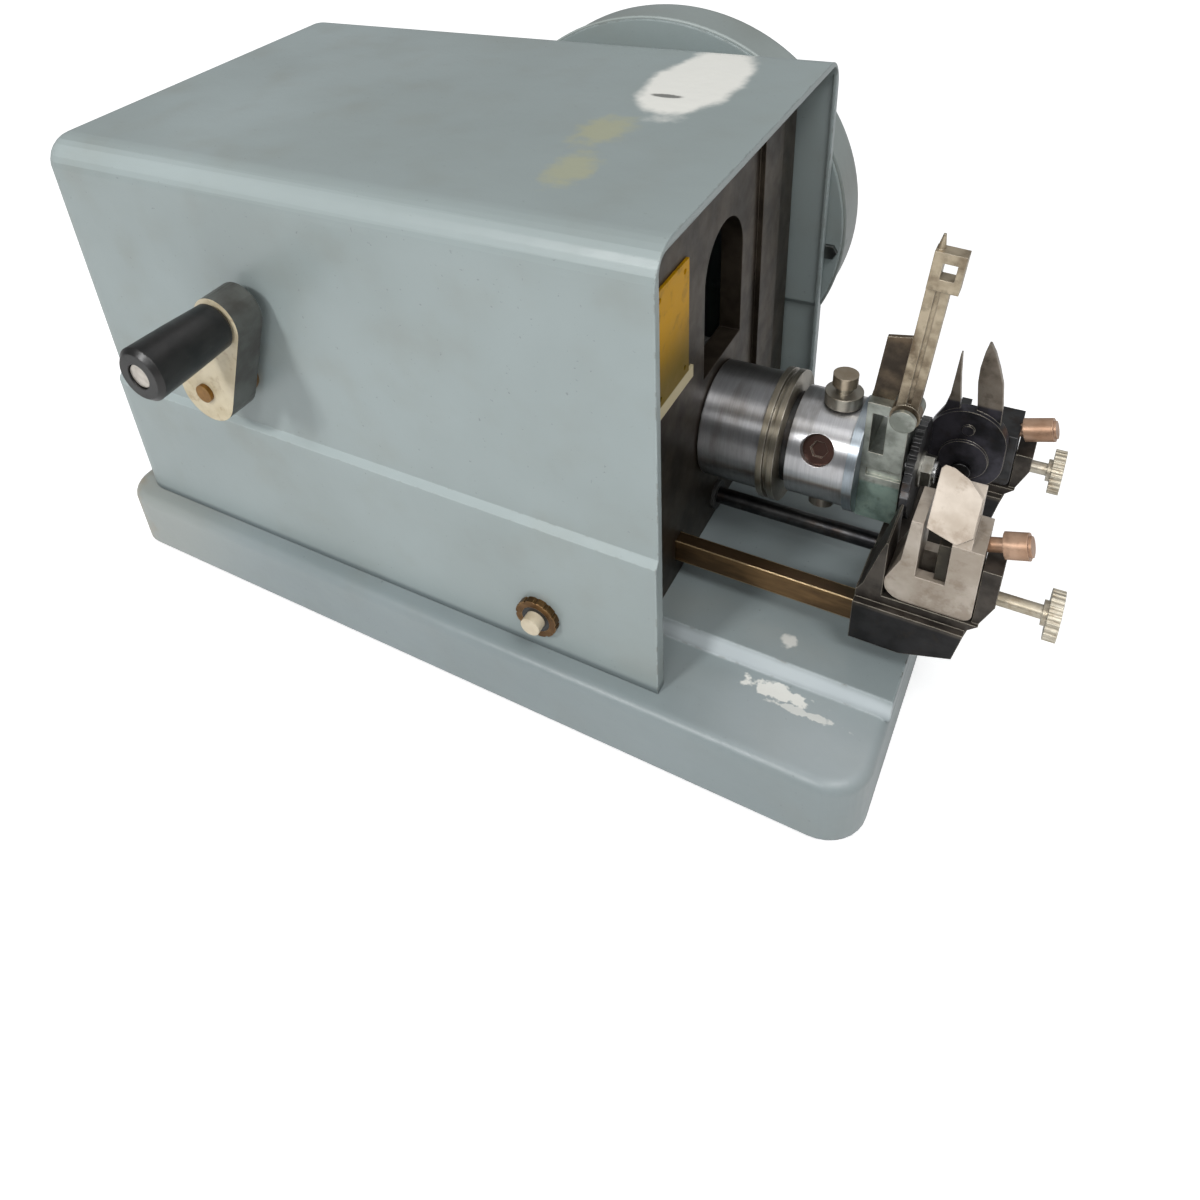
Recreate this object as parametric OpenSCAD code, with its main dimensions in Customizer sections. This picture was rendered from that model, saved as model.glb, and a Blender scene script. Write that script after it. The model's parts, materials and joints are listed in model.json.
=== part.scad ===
// Bench key duplicating machine: motor and belt under a sheet cover, a steel quill
// that carries the cutter out of the open end, and a sliding carriage with two key vises.
// Millimetres, +Z up. +X is the working end, -Y the crank side, +Y the belt guard side.
// Origin: the middle of the machine's box, on the surface that it stands on.

/* [Base] */
// Length of the cast base along X
base_l = 496; // [486:1:500]
// Width of the cast base along Y
base_w = 282; // [276:1:300]
// Height of the base casting without its feet
base_h = 40; // [36:1:44]
// Wall thickness of the base casting
base_t = 6; // [5:0.5:7]
// Height of the rubber feet under the casting
foot_h = 6; // [4:1:10]
// Height of the raised bed along the middle of the base
bed_h = 9; // [8:0.5:9]

/* [Cover] */
// Length of the sheet cover along X
cover_l = 382; // [370:1:384]
// Width of the cover across its skirt
cover_w = 256; // [250:1:260]
// Height of the cover above the base
cover_h = 250; // [246:1:256]
// Sheet thickness of the cover
sheet_t = 2; // [1.5:0.5:2.5]
// Radius of the cover's rounded edges
cover_r = 18; // [14:1:22]
// How far the lower skirt stands proud of the upper cover
joggle = 3; // [2:0.5:4]
// Height of the skirt above the base
skirt_h = 92; // [86:1:98]
// Width of the return lip round the open end
lip_w = 4; // [3:0.5:6]

/* [Spindle] */
// Height of the spindle axis above the base top
spindle_h = 80; // [78:1:82]
// Outer radius of the quill sleeve
quill_r = 30; // [29:0.5:31]
// Radius of the spindle shaft
spindle_r = 8; // [7:0.5:9]
// Radius of the cutter wheel
cutter_r = 27; // [24:0.5:28]
// Number of cutter teeth
cutter_teeth = 36; // [24:1:48]

/* [Drive] */
// Pitch radius of both mitre gears
mitre_r = 20; // [18:1:20]
// Number of teeth on each mitre gear
mitre_teeth = 16; // [12:2:20]
// Radius of the belt on the motor pulley, to its inside
motor_belt_r = 43; // [38:1:44]
// Radius of the belt on the driven pulley, to its inside
driven_belt_r = 27; // [24:1:28]
// Radius of the round belt guard
guard_r = 124; // [122:1:126]
// Radius of the motor body
motor_r = 55; // [50:1:56]

/* [Feed] */
// Module of the feed rack and pinion
feed_module = 2; // [1.8:0.1:2]
// Number of teeth on the feed pinion
pinion_teeth = 12; // [12:1:13]
// Radius from the crank shaft to the grip
crank_r = 55; // [50:1:60]
// Lean of the crank arm from upright towards the working end
crank_lean = 26; // [20:1:30]

/* [Vises] */
// Distance along Y between the two vises
vise_pitch = 104; // [102:1:106]
// Depth of a vise jaw along Y
jaw_d = 26; // [22:1:26]
// Width of the key slot in a jaw
slot_w = 13; // [12:0.5:13]
// Radius of the round thumb screw heads
thumb_r = 12; // [10:0.5:13]

/* [Hidden] */

$fn = 64;
hull_fn = 32;
fit_gap = 0.05;
seat_gap = 0.1;
move_gap = 0.4;

// Places along Z
base_top = foot_h + base_h;
bed_top = base_top + bed_h;
cover_top = base_top + cover_h;
joggle_z = base_top + skirt_h;

// Places along X and Y
mid_y = 14;
base_x0 = -277;
base_x1 = base_x0 + base_l;
base_y0 = mid_y - base_w / 2;
base_y1 = mid_y + base_w / 2;
cover_x1 = 115;
cover_x0 = cover_x1 - cover_l;
cover_y0 = mid_y - cover_w / 2;
cover_y1 = mid_y + cover_w / 2;
bed_half_w = 90;

// Spindle line
spindle_y = 16;
spindle_z = base_top + spindle_h;
frame_x0 = 90;
frame_x1 = 95;
quill_x0 = 48;
quill_x1 = 129;
spigot_r = 20;
collar_x1 = 138;
ring_x1 = 142;
head_x1 = 172;
face_x1 = 177;
block_x1 = 197;
cutter_x0 = 199;
cutter_t = 4;
spindle_x0 = 25;
spindle_x1 = 211;

// Cross shaft and motor
cross_x = 15;
cross_z = spindle_z;
cross_r = 7;
motor_x = -35;
motor_z = 212;
motor_y0 = -6;
motor_y1 = 114;
belt_y = 164;
belt_w = 10;
belt_t = 7;
pulley_w = 18;
guard_x = 0;
guard_z = 183;
guard_y0 = cover_y1;
guard_y1 = 187;

// Crank and feed
crank_x = -140;
crank_z = 174;
pinion_r = feed_module * pinion_teeth / 2;
pinion_y = [-46, -34];
bar_y = -40;
bar_t = 8;
bar_z0 = 68;
bar_z1 = 82;
bar_seat = 24;
rod_r = 5;
rod_seat = 34;
rod_z = 68;
grip_y0 = -187;
grip_y1 = -136;
arm_y1 = -118;

// Carriage and vises
car_x0 = 191;
car_x1 = 251;
car_z0 = 67;
car_z1 = 97;
bolt_r = 3;
near_y = -36;
jaw_x0 = 203;
jaw_x1 = 242.5;
slot_x0 = 216;
slot_x1 = slot_x0 + slot_w;
pad_t = 5;
thumb_z = 105;
thumb_stem_r = 3.4;
thumb_tip_r = 2.4;
plunger_r = 3.5;
plunger_tilt = 18;
near_plunger_z = 135.5;
far_plunger_z = 126.5;
gauge_y = [46, 53];
gauge_x = 219.5;
gauge_z = 110;
gauge_pin_r = 3;

// ---- Shared shapes ----

module block(x, y, z) {
    translate([x[0], y[0], z[0]]) cube([x[1] - x[0], y[1] - y[0], z[1] - z[0]]);
}

module x_rod(r, x, y, z) {
    translate([x[0], y, z]) rotate([0, 90, 0]) cylinder(r = r, h = x[1] - x[0]);
}

module y_rod(r, y, x, z) {
    translate([x, y[1], z]) rotate([90, 0, 0]) cylinder(r = r, h = y[1] - y[0]);
}

module z_rod(r, z, x, y) {
    translate([x, y, z[0]]) cylinder(r = r, h = z[1] - z[0]);
}

// A flat outline in X and Z, given its thickness along Y
module xz_plate(y) {
    translate([0, y[1], 0]) rotate([90, 0, 0]) linear_extrude(y[1] - y[0]) children();
}

// A flat outline in Y and Z, given its thickness along X
module yz_plate(x) {
    translate([x[0], 0, 0]) rotate([90, 0, 90]) linear_extrude(x[1] - x[0]) children();
}

module rounded_rect(x, y, r) {
    translate([x[0] + r, y[0]]) square([x[1] - x[0] - 2 * r, y[1] - y[0]]);
    translate([x[0], y[0] + r]) square([x[1] - x[0], y[1] - y[0] - 2 * r]);
    for (cx = [x[0] + r, x[1] - r], cy = [y[0] + r, y[1] - r])
        translate([cx, cy]) circle(r);
}

module hex_screw(r, shank, head_w, head_h) {
    cylinder(r = r, h = shank);
    translate([0, 0, shank]) cylinder(d = head_w, h = head_h, $fn = 6);
}

module round_screw(r, shank, head_r, head_h) {
    cylinder(r = r, h = shank);
    difference() {
        translate([0, 0, shank]) cylinder(r = head_r, h = head_h);
        translate([-head_r, -head_r / 8, shank + head_h * 0.6]) cube([2 * head_r, head_r / 4, head_h]);
    }
}

// ---- Base ----

module base_post(r, edge) {
    cylinder(r = r, h = base_h - edge, $fn = hull_fn);
    translate([0, 0, base_h - edge])
        rotate_extrude($fn = hull_fn) translate([r - edge, 0]) circle(edge, $fn = hull_fn);
}

foot_places = [for (x = [base_x0 + 28, base_x1 - 28], y = [base_y0 + 28, base_y1 - 28]) [x, y]];
headstock_bolt_places = [for (x = [54, 82], y = [-12, 44]) [x, y]];
end_frame_bolt_places = [for (y = [-67, 99]) [82, y]];
stand_bolt_places = [for (y = [70, 84]) [cross_x, y]];
motor_foot_places = [for (x = [-76, -16], y = [-7, 90]) [x, y]];
frame_bolt_places = concat(headstock_bolt_places, end_frame_bolt_places, stand_bolt_places,
    motor_foot_places);
cover_screw_z = base_top + 10;
back_screw_x = [-220, -120];
left_screw_y = [-60, 88];
cover_screw_r = 2;

module base() {
    corner_r = 22;
    edge_r = 6;
    lip_h = 18;
    lip_t = 4;
    lip_in = sheet_t + 0.3;
    color([0.52, 0.58, 0.60])
    difference() {
        union() {
            translate([0, 0, foot_h]) hull() {
                for (x = [base_x0 + corner_r, base_x1 - corner_r])
                    for (y = [base_y0 + corner_r, base_y1 - corner_r])
                        translate([x, y, 0]) base_post(corner_r, edge_r);
            }
            // Raised bed with a sloped step along each side
            yz_plate([base_x0 + 40, base_x1]) polygon([
                [spindle_y - bed_half_w - 4, base_top - 1], [spindle_y - bed_half_w, bed_top],
                [spindle_y + bed_half_w, bed_top], [spindle_y + bed_half_w + 4, base_top - 1]]);
        }
        // Open underside
        difference() {
            translate([0, 0, -1]) linear_extrude(base_top - base_t + 1)
                rounded_rect([base_x0 + base_t, base_x1 - base_t], [base_y0 + base_t, base_y1 - base_t],
                    corner_r - base_t);
            for (p = foot_places) z_rod(16, [foot_h, base_top], p[0], p[1]);
        }
        for (p = foot_places) z_rod(6 + seat_gap, [-1, foot_h + 16], p[0], p[1]);
        for (p = frame_bolt_places)
            z_rod(bolt_r + seat_gap, [base_top - base_t - 1, bed_top + 1], p[0], p[1]);
    }
    // Rail inside the cover's skirt, which takes the cover screws
    color([0.52, 0.58, 0.60])
    difference() {
        translate([0, 0, base_top]) linear_extrude(lip_h)
            rounded_rect([cover_x0 + lip_in, 60], [cover_y0 + lip_in, cover_y1 - lip_in],
                cover_r - lip_in);
        translate([0, 0, base_top - 1]) linear_extrude(lip_h + 2)
            rounded_rect([cover_x0 + lip_in + lip_t, 80],
                [cover_y0 + lip_in + lip_t, cover_y1 - lip_in - lip_t], cover_r - lip_in - lip_t);
        block([36, 90], [cover_y0, cover_y1], [base_top - 1, base_top + lip_h + 1]);
        for (x = back_screw_x)
            y_rod(cover_screw_r + seat_gap, [cover_y1 - 14, cover_y1 + 1], x, cover_screw_z);
        for (y = left_screw_y)
            x_rod(cover_screw_r + seat_gap, [cover_x0 - 1, cover_x0 + 14], y, cover_screw_z);
    }
}

module rubber_feet() {
    color([0.08, 0.08, 0.08])
    for (p = foot_places) {
        z_rod(6, [2, foot_h + 15], p[0], p[1]);
        translate([p[0], p[1], 0]) cylinder(r1 = 13, r2 = 15, h = foot_h);
    }
}

// ---- Cover ----

module cover_hood(inset, x1) {
    r = cover_r - inset;
    low = joggle_z - 4;
    y0 = cover_y0 + joggle + cover_r;
    y1 = cover_y1 - joggle - cover_r;
    x0 = cover_x0 + joggle + cover_r;
    z1 = cover_top - cover_r;
    hull() {
        for (y = [y0, y1]) {
            translate([x0, y, z1]) sphere(r, $fn = hull_fn);
            translate([x0, y, low]) cylinder(r = r, h = 1, $fn = hull_fn);
            translate([x1 - 1, y, z1]) rotate([0, 90, 0]) cylinder(r = r, h = 1, $fn = hull_fn);
        }
        block([x1 - 1, x1], [y0 - r, y1 + r], [low, low + 1]);
    }
}

module cover_skirt_outline(inset, x1) {
    difference() {
        rounded_rect([cover_x0 + inset, x1 + 60], [cover_y0 + inset, cover_y1 - inset], cover_r - inset);
        translate([x1, cover_y0 - 1]) square([80, cover_w + 2]);
    }
}

// The sloped step between the skirt and the hood
module joggle_slope(inset, x1) {
    hull() {
        translate([0, 0, joggle_z - 6]) linear_extrude(0.5) cover_skirt_outline(inset, x1);
        translate([0, 0, joggle_z - 2]) linear_extrude(0.5) cover_skirt_outline(inset + joggle, x1);
    }
}

module cover_shape(inset, x1, z0) {
    cover_hood(inset, x1);
    translate([0, 0, z0]) linear_extrude(joggle_z - 5.9 - z0) cover_skirt_outline(inset, x1);
    joggle_slope(inset, x1);
}

button_x = 48;
button_z = 71;
gland_y = 70;
gland_z = 84;

module cover() {
    color([0.60, 0.66, 0.66])
    difference() {
        cover_shape(0, cover_x1, base_top);
        cover_shape(sheet_t, cover_x1 - sheet_t, base_top - 1);
        // Open working end inside the return lip
        yz_plate([cover_x1 - 10, cover_x1 + 1]) {
            translate([cover_y0 + joggle + lip_w, base_top - 1])
                square([cover_w - 2 * joggle - 2 * lip_w, cover_h - lip_w - 7]);
            translate([cover_y0 + joggle + lip_w + 8, base_top - 1])
                square([cover_w - 2 * joggle - 2 * lip_w - 16, cover_h - lip_w + 1]);
            for (y = [cover_y0 + joggle + lip_w + 8, cover_y1 - joggle - lip_w - 8])
                translate([y, cover_top - lip_w - 8]) circle(8);
        }
        y_rod(8 + seat_gap, [cover_y0 - 1, cover_y0 + 8], button_x, button_z);
        y_rod(11 + seat_gap, [cover_y0 - 1, cover_y0 + 12], crank_x, crank_z);
        y_rod(20, [cover_y1 - 12, cover_y1 + 1], motor_x, motor_z);
        y_rod(24, [cover_y1 - 12, cover_y1 + 1], cross_x, cross_z);
        x_rod(10 + seat_gap, [cover_x0 - 1, cover_x0 + 10], gland_y, gland_z);
        for (x = back_screw_x)
            y_rod(cover_screw_r + seat_gap, [cover_y1 - 6, cover_y1 + 1], x, cover_screw_z);
        for (y = left_screw_y)
            x_rod(cover_screw_r + seat_gap, [cover_x0 - 1, cover_x0 + 6], y, cover_screw_z);
        for (p = plate_screw_places)
            y_rod(cover_screw_r + seat_gap, [cover_y1 - 12, cover_y1 + 1], p[0], p[1]);
    }
}

module cover_screws() {
    color([0.55, 0.55, 0.53]) {
        for (x = back_screw_x)
            translate([x, cover_y1 - 10, cover_screw_z]) rotate([-90, 0, 0])
                round_screw(cover_screw_r, 10, 4, 2.2);
        for (y = left_screw_y)
            translate([cover_x0 + 10, y, cover_screw_z]) rotate([0, -90, 0])
                round_screw(cover_screw_r, 10, 4, 2.2);
    }
}

// ---- Belt guard ----

guard_bolt_angles = [-5, 130, 185];
guard_bolt_ring = guard_r - 6;
plate_screw_places = [[-80, 240], [70, 250], [-80, 165], [80, 160]];
guard_plate_t = 2;
guard_plate_y1 = guard_y0 + guard_plate_t;

module guard_plate() {
    color([0.50, 0.56, 0.58])
    difference() {
        union() {
            y_rod(guard_r, [guard_y0, guard_plate_y1], guard_x, guard_z);
            // Pad that fills the step between the skirt and the hood
            block([-95, 95], [guard_y0 - joggle, guard_y0], [joggle_z + 2, 262]);
        }
        y_rod(20, [guard_y0 - joggle - 1, guard_plate_y1 + 1], motor_x, motor_z);
        y_rod(24, [guard_y0 - joggle - 1, guard_plate_y1 + 1], cross_x, cross_z);
        for (a = guard_bolt_angles)
            y_rod(bolt_r + seat_gap, [guard_y0 - 1, guard_plate_y1 + 1],
                guard_x + guard_bolt_ring * cos(a), guard_z + guard_bolt_ring * sin(a));
        for (p = plate_screw_places)
            y_rod(cover_screw_r + seat_gap, [guard_y0 - joggle - 1, guard_plate_y1 + 1], p[0], p[1]);
    }
}

// A round drum with a rounded closed end, drawn along +Z
module drum(r, depth, edge) {
    cylinder(r = r, h = depth - edge, $fn = 128);
    cylinder(r = r - edge, h = depth, $fn = 128);
    translate([0, 0, depth - edge]) rotate_extrude($fn = 128) translate([r - edge, 0])
        circle(edge, $fn = 24);
}

module belt_guard() {
    depth = guard_y1 - guard_plate_y1;
    edge = 12;
    rim = 1.5;
    lug_h = 12;
    color([0.56, 0.62, 0.63])
    translate([guard_x, guard_plate_y1, guard_z]) rotate([-90, 0, 0])
    difference() {
        union() {
            difference() {
                union() {
                    drum(guard_r, depth, edge);
                    translate([0, 0, rim]) rotate_extrude($fn = 128)
                        translate([guard_r, 0]) circle(rim, $fn = 16);
                }
                translate([0, 0, -1]) drum(guard_r - sheet_t, depth + 1 - sheet_t, edge - sheet_t);
            }
            for (a = guard_bolt_angles)
                rotate([0, 0, -a]) translate([guard_bolt_ring, 0, 0]) cylinder(r = 7, h = lug_h);
        }
        for (a = guard_bolt_angles)
            rotate([0, 0, -a]) translate([guard_bolt_ring, 0, -1])
                cylinder(r = bolt_r + seat_gap, h = lug_h);
    }
}

module guard_bolts() {
    shank = 9;
    color([0.55, 0.56, 0.56]) {
        for (a = guard_bolt_angles)
            translate([guard_x + guard_bolt_ring * cos(a), guard_y0 + shank,
                guard_z + guard_bolt_ring * sin(a)])
                rotate([90, 0, 0]) hex_screw(bolt_r, shank, 10, 2.9);
        for (p = plate_screw_places)
            translate([p[0], guard_plate_y1 - 6.5, p[1]]) rotate([-90, 0, 0])
                round_screw(cover_screw_r, 6.5, 4, 2.2);
    }
}

// ---- Frame inside the cover ----

label_screw_y = [-65, -36];
label_screw_z = [192, 246];
window_y = 20;
window_half = 27;
window_top = 246;
window_z0 = 165;

module window_outline(grow) {
    translate([window_y - window_half - grow, window_z0 - grow])
        square([2 * (window_half + grow), window_top - window_half - window_z0 + grow]);
    translate([window_y, window_top - window_half]) circle(window_half + grow);
}

module end_frame() {
    foot_t = 5;
    color([0.36, 0.31, 0.25])
    difference() {
        union() {
            block([frame_x0, frame_x1], [-103, 131], [bed_top, 285]);
            for (y = [[-103, spindle_y - bed_half_w - 5], [spindle_y + bed_half_w + 5, 131]])
                block([frame_x0, frame_x1], y, [base_top, bed_top + 1]);
            yz_plate([frame_x0 - 7, frame_x1]) window_outline(4);
            // Stiffening rib on the working side
            block([frame_x1, frame_x1 + 3], [70, 99], [100, 280]);
            for (p = end_frame_bolt_places)
                block([72, frame_x1], [p[1] - 7, p[1] + 7], [bed_top, bed_top + foot_t]);
        }
        yz_plate([frame_x0 - 17, frame_x1 + 1]) window_outline(0);
        x_rod(quill_r + 1, [frame_x0 - 20, frame_x1 + 4], spindle_y, spindle_z);
        block([frame_x0 - 1, frame_x1 + 1], [bar_y - bar_t / 2 - 1, bar_y + bar_t / 2 + 1],
            [bar_z0 - 1, bar_z1 + 1]);
        x_rod(9 + seat_gap, [frame_x0 - 1, frame_x1 + 1], spindle_y, rod_z);
        for (p = end_frame_bolt_places)
            z_rod(bolt_r + seat_gap, [bed_top - 1, bed_top + foot_t + 1], p[0], p[1]);
        for (y = label_screw_y, z = label_screw_z) x_rod(1.5, [frame_x0 - 1, frame_x1 + 1], y, z);
    }
}

module frame_bolt(p, z, shank) {
    translate([p[0], p[1], z - shank]) hex_screw(bolt_r, shank, 10, 4);
}

module end_frame_bolts() {
    color([0.35, 0.34, 0.32])
    for (p = end_frame_bolt_places) frame_bolt(p, bed_top + 5, 16);
}

module amber_plate() {
    color([0.85, 0.62, 0.10])
    difference() {
        union() {
            block([frame_x1, frame_x1 + 1.5], [-70, -31], [187, 251]);
            block([frame_x1, frame_x1 + 1.5], [-70, -25], [180, 187]);
        }
        for (y = label_screw_y, z = label_screw_z) x_rod(1.5, [frame_x1 - 1, frame_x1 + 3], y, z);
    }
}

headstock_x = [quill_x0, 88];
boss_x1 = 82.5;

module headstock() {
    foot_t = 12;
    color([0.33, 0.33, 0.31])
    difference() {
        union() {
            block([42, headstock_x[1]], [-20, 52], [bed_top, bed_top + foot_t]);
            block([headstock_x[0], headstock_x[1]], [-2, 34], [bed_top, spindle_z]);
            x_rod(42, [headstock_x[0], boss_x1], spindle_y, spindle_z);
            // Side ribs from the foot to the boss
            for (x = [50, 78]) yz_plate([x, x + 8]) polygon([
                [-20, bed_top + foot_t - 1], [52, bed_top + foot_t - 1],
                [spindle_y + 41, spindle_z], [spindle_y - 41, spindle_z]]);
        }
        x_rod(quill_r + fit_gap, [headstock_x[0] - 1, headstock_x[1] + 1], spindle_y, spindle_z);
        x_rod(9 + seat_gap, [40, headstock_x[1] + 1], spindle_y, rod_z);
        for (p = headstock_bolt_places)
            z_rod(bolt_r + seat_gap, [bed_top - 1, bed_top + foot_t + 1], p[0], p[1]);
        for (p = headstock_bolt_places) z_rod(6, [bed_top + foot_t, spindle_z - 30], p[0], p[1]);
    }
}

module headstock_bolts() {
    color([0.35, 0.34, 0.32])
    for (p = headstock_bolt_places) frame_bolt(p, bed_top + 12, 22);
}

// ---- Quill and tool head ----

module quill_sleeve() {
    color([0.74, 0.74, 0.74])
    difference() {
        union() {
            x_rod(quill_r, [quill_x0, quill_x1 - 1], spindle_y, spindle_z);
            x_rod(quill_r + 3, [frame_x1 + 1, quill_x1], spindle_y, spindle_z);
            x_rod(spigot_r, [quill_x1 - 1, head_x1], spindle_y, spindle_z);
        }
        x_rod(15, [quill_x0 - 1, head_x1 + 1], spindle_y, spindle_z);
    }
}

module quill_collar() {
    land = 3.2;
    rim_r = 36.5;
    color([0.62, 0.58, 0.52])
    difference() {
        union() {
            x_rod(rim_r, [quill_x1, quill_x1 + land], spindle_y, spindle_z);
            x_rod(rim_r - 3, [quill_x1, collar_x1], spindle_y, spindle_z);
            x_rod(rim_r, [collar_x1 - land, collar_x1], spindle_y, spindle_z);
        }
        x_rod(spigot_r + fit_gap, [quill_x1 - 1, collar_x1 + 1], spindle_y, spindle_z);
    }
}

module nose_ring() {
    color([0.45, 0.42, 0.38])
    difference() {
        x_rod(25, [collar_x1, ring_x1], spindle_y, spindle_z);
        x_rod(spigot_r + fit_gap, [collar_x1 - 1, ring_x1 + 1], spindle_y, spindle_z);
    }
}

clamp_r = 29.5;
set_screw_x = 157;
set_screw_tilt = 60;
set_screw_r = 8.5;
knob_x = 162;

module clamp_head() {
    color([0.80, 0.80, 0.80])
    difference() {
        x_rod(clamp_r, [ring_x1, head_x1], spindle_y, spindle_z);
        x_rod(spigot_r + fit_gap, [ring_x1 - 1, head_x1 + 1], spindle_y, spindle_z);
        translate([set_screw_x, spindle_y, spindle_z]) rotate([set_screw_tilt, 0, 0])
            cylinder(r = set_screw_r, h = 40);
        translate([set_screw_x, spindle_y, spindle_z]) rotate([set_screw_tilt + 110, 0, 0])
            cylinder(r = 4.1, h = 40);
        z_rod(4.1, [spindle_z, spindle_z + 40], knob_x, spindle_y);
    }
}

module clamp_screws() {
    color([0.66, 0.62, 0.54]) {
        // Socket set screw sunk in its hole
        translate([set_screw_x, spindle_y, spindle_z]) rotate([set_screw_tilt, 0, 0])
            difference() {
                translate([0, 0, spigot_r + 0.6]) cylinder(r = set_screw_r - seat_gap, h = 3.4);
                translate([0, 0, spigot_r + 1.6]) cylinder(d = 9, h = 4, $fn = 6);
            }
        // Clamp screw below
        translate([set_screw_x, spindle_y, spindle_z]) rotate([set_screw_tilt + 110, 0, 0]) {
            translate([0, 0, spigot_r + 0.6]) cylinder(r = 4, h = 13);
            translate([0, 0, clamp_r + 1]) cylinder(r = 6.5, h = 5);
        }
        // Knurled nut and round knob on top
        z_rod(4, [spindle_z + spigot_r + 0.6, spindle_z + 44], knob_x, spindle_y);
        translate([knob_x, spindle_y, spindle_z + clamp_r + 0.5]) cylinder(r = 9.5, h = 7);
        translate([knob_x, spindle_y, spindle_z + 41]) cylinder(r = 6.3, h = 6.5);
    }
}

module face_plate() {
    color([0.72, 0.75, 0.77])
    difference() {
        x_rod(31, [head_x1, face_x1], spindle_y, spindle_z);
        x_rod(12, [head_x1 - 1, face_x1 + 1], spindle_y, spindle_z);
    }
}

lever_x = 195.5;
lever_z = 172;
lever_pin_r = 3;

shield_z0 = 171;

module slot_block() {
    color([0.70, 0.72, 0.70])
    difference() {
        union() {
            block([face_x1, block_x1], [0, 32], [98, shield_z0]);
            // Ear that carries the setting lever's pin
            block([lever_x - 7, block_x1], [0, 5.9], [157, lever_z]);
            y_rod(7, [0, 5.9], lever_x, lever_z);
        }
        x_rod(12, [face_x1 - 1, block_x1 + 1], spindle_y, spindle_z);
        block([180, 187], [-1, 33], [141, 165]);
        // Groove round the foot of the block
        block([face_x1 + 3, block_x1 + 1], [-1, 2], [126, 131]);
        y_rod(lever_pin_r + seat_gap, [-1, 7], lever_x, lever_z);
    }
    color([0.6, 0.6, 0.6]) {
        y_rod(lever_pin_r, [-9, 5.9], lever_x, lever_z);
        y_rod(6, [-11.4, -9], lever_x, lever_z);
    }
}

module chip_shield() {
    y = [6, 8.5];
    color([0.40, 0.34, 0.27]) {
        xz_plate(y) polygon([[face_x1 + 0.5, shield_z0], [block_x1, shield_z0], [block_x1 - 2, 209],
            [181, 206.5]]);
        block([face_x1 + 0.5, block_x1], [y[0], y[0] + 14], [shield_z0, shield_z0 + 2.5]);
    }
}

// ---- Rotating parts ----

// One mitre gear with straight teeth that taper to the shafts' crossing, big end at z = 0
module mitre_gear(turn) {
    face = 8;
    addendum = 1.6;
    dedendum = 2.2;
    half_mid = 3.1416 * mitre_r / mitre_teeth / 2 - 0.28;
    slope = tan(20);
    taper = 1 - face / mitre_r;
    root_r = mitre_r - dedendum;
    rotate([0, 0, turn]) linear_extrude(face, scale = taper) {
        circle(root_r, $fn = 48);
        for (i = [0:mitre_teeth - 1]) rotate([0, 0, i * 360 / mitre_teeth]) polygon([
            [root_r - 1, half_mid + dedendum * slope], [mitre_r, half_mid],
            [mitre_r + addendum, half_mid - addendum * slope],
            [mitre_r + addendum, -half_mid + addendum * slope],
            [mitre_r, -half_mid], [root_r - 1, -half_mid - dedendum * slope]]);
    }
}

mitre_hub_r = 14;
mitre_hub = 10;

module spindle() {
    color([0.68, 0.68, 0.68]) {
        x_rod(spindle_r, [spindle_x0, cutter_x0 - 1], spindle_y, spindle_z);
        x_rod(6, [cutter_x0 - 1, spindle_x1], spindle_y, spindle_z);
    }
}

module spindle_gear() {
    color([0.45, 0.45, 0.47])
    difference() {
        union() {
            translate([cross_x + mitre_r, spindle_y, spindle_z]) rotate([0, -90, 0]) mitre_gear(90);
            x_rod(mitre_hub_r, [cross_x + mitre_r, cross_x + mitre_r + mitre_hub], spindle_y, spindle_z);
        }
        x_rod(spindle_r + fit_gap, [cross_x, cross_x + mitre_r + mitre_hub + 1], spindle_y, spindle_z);
    }
}

module cross_gear() {
    color([0.45, 0.45, 0.47])
    difference() {
        union() {
            translate([cross_x, spindle_y + mitre_r, cross_z]) rotate([90, 0, 0])
                mitre_gear(180 / mitre_teeth);
            y_rod(mitre_hub_r, [spindle_y + mitre_r, spindle_y + mitre_r + mitre_hub], cross_x, cross_z);
        }
        y_rod(cross_r + fit_gap, [spindle_y, spindle_y + mitre_r + mitre_hub + 1], cross_x, cross_z);
    }
}

module cutter_wheel() {
    step = 360 / cutter_teeth;
    color([0.20, 0.20, 0.21])
    difference() {
        union() {
            yz_plate([cutter_x0, cutter_x0 + cutter_t]) translate([spindle_y, spindle_z])
                polygon([for (i = [0:cutter_teeth - 1], k = [0, 1])
                    let (r = cutter_r - 2.4 * k, a = i * step + k * step * 0.25) [r * cos(a), r * sin(a)]]);
            x_rod(12, [cutter_x0 - 0.8, cutter_x0 + cutter_t], spindle_y, spindle_z);
        }
        x_rod(6 + fit_gap, [cutter_x0 - 2, cutter_x0 + cutter_t + 1], spindle_y, spindle_z);
    }
}

module cutter_nut() {
    color([0.5, 0.5, 0.5])
    difference() {
        union() {
            x_rod(9.5, [cutter_x0 + cutter_t, cutter_x0 + cutter_t + 1.4], spindle_y, spindle_z);
            translate([cutter_x0 + cutter_t + 1.4, spindle_y, spindle_z]) rotate([0, 90, 0])
                cylinder(d = 18, h = 5, $fn = 6);
        }
        x_rod(6 + fit_gap, [cutter_x0, spindle_x1 + 1], spindle_y, spindle_z);
    }
}

module x_bearing(inner, outer, x) {
    difference() {
        x_rod(outer, x, spindle_y, spindle_z);
        x_rod(inner, [x[0] - 1, x[1] + 1], spindle_y, spindle_z);
    }
}

module spindle_bearings() {
    color([0.72, 0.70, 0.62])
    for (x = [[52, 68], [150, 166]]) x_bearing(spindle_r + fit_gap, 15 - fit_gap, x);
}

stand_post_y = [[49, 63], [91, 105]];
bearing_r = 13;

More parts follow.
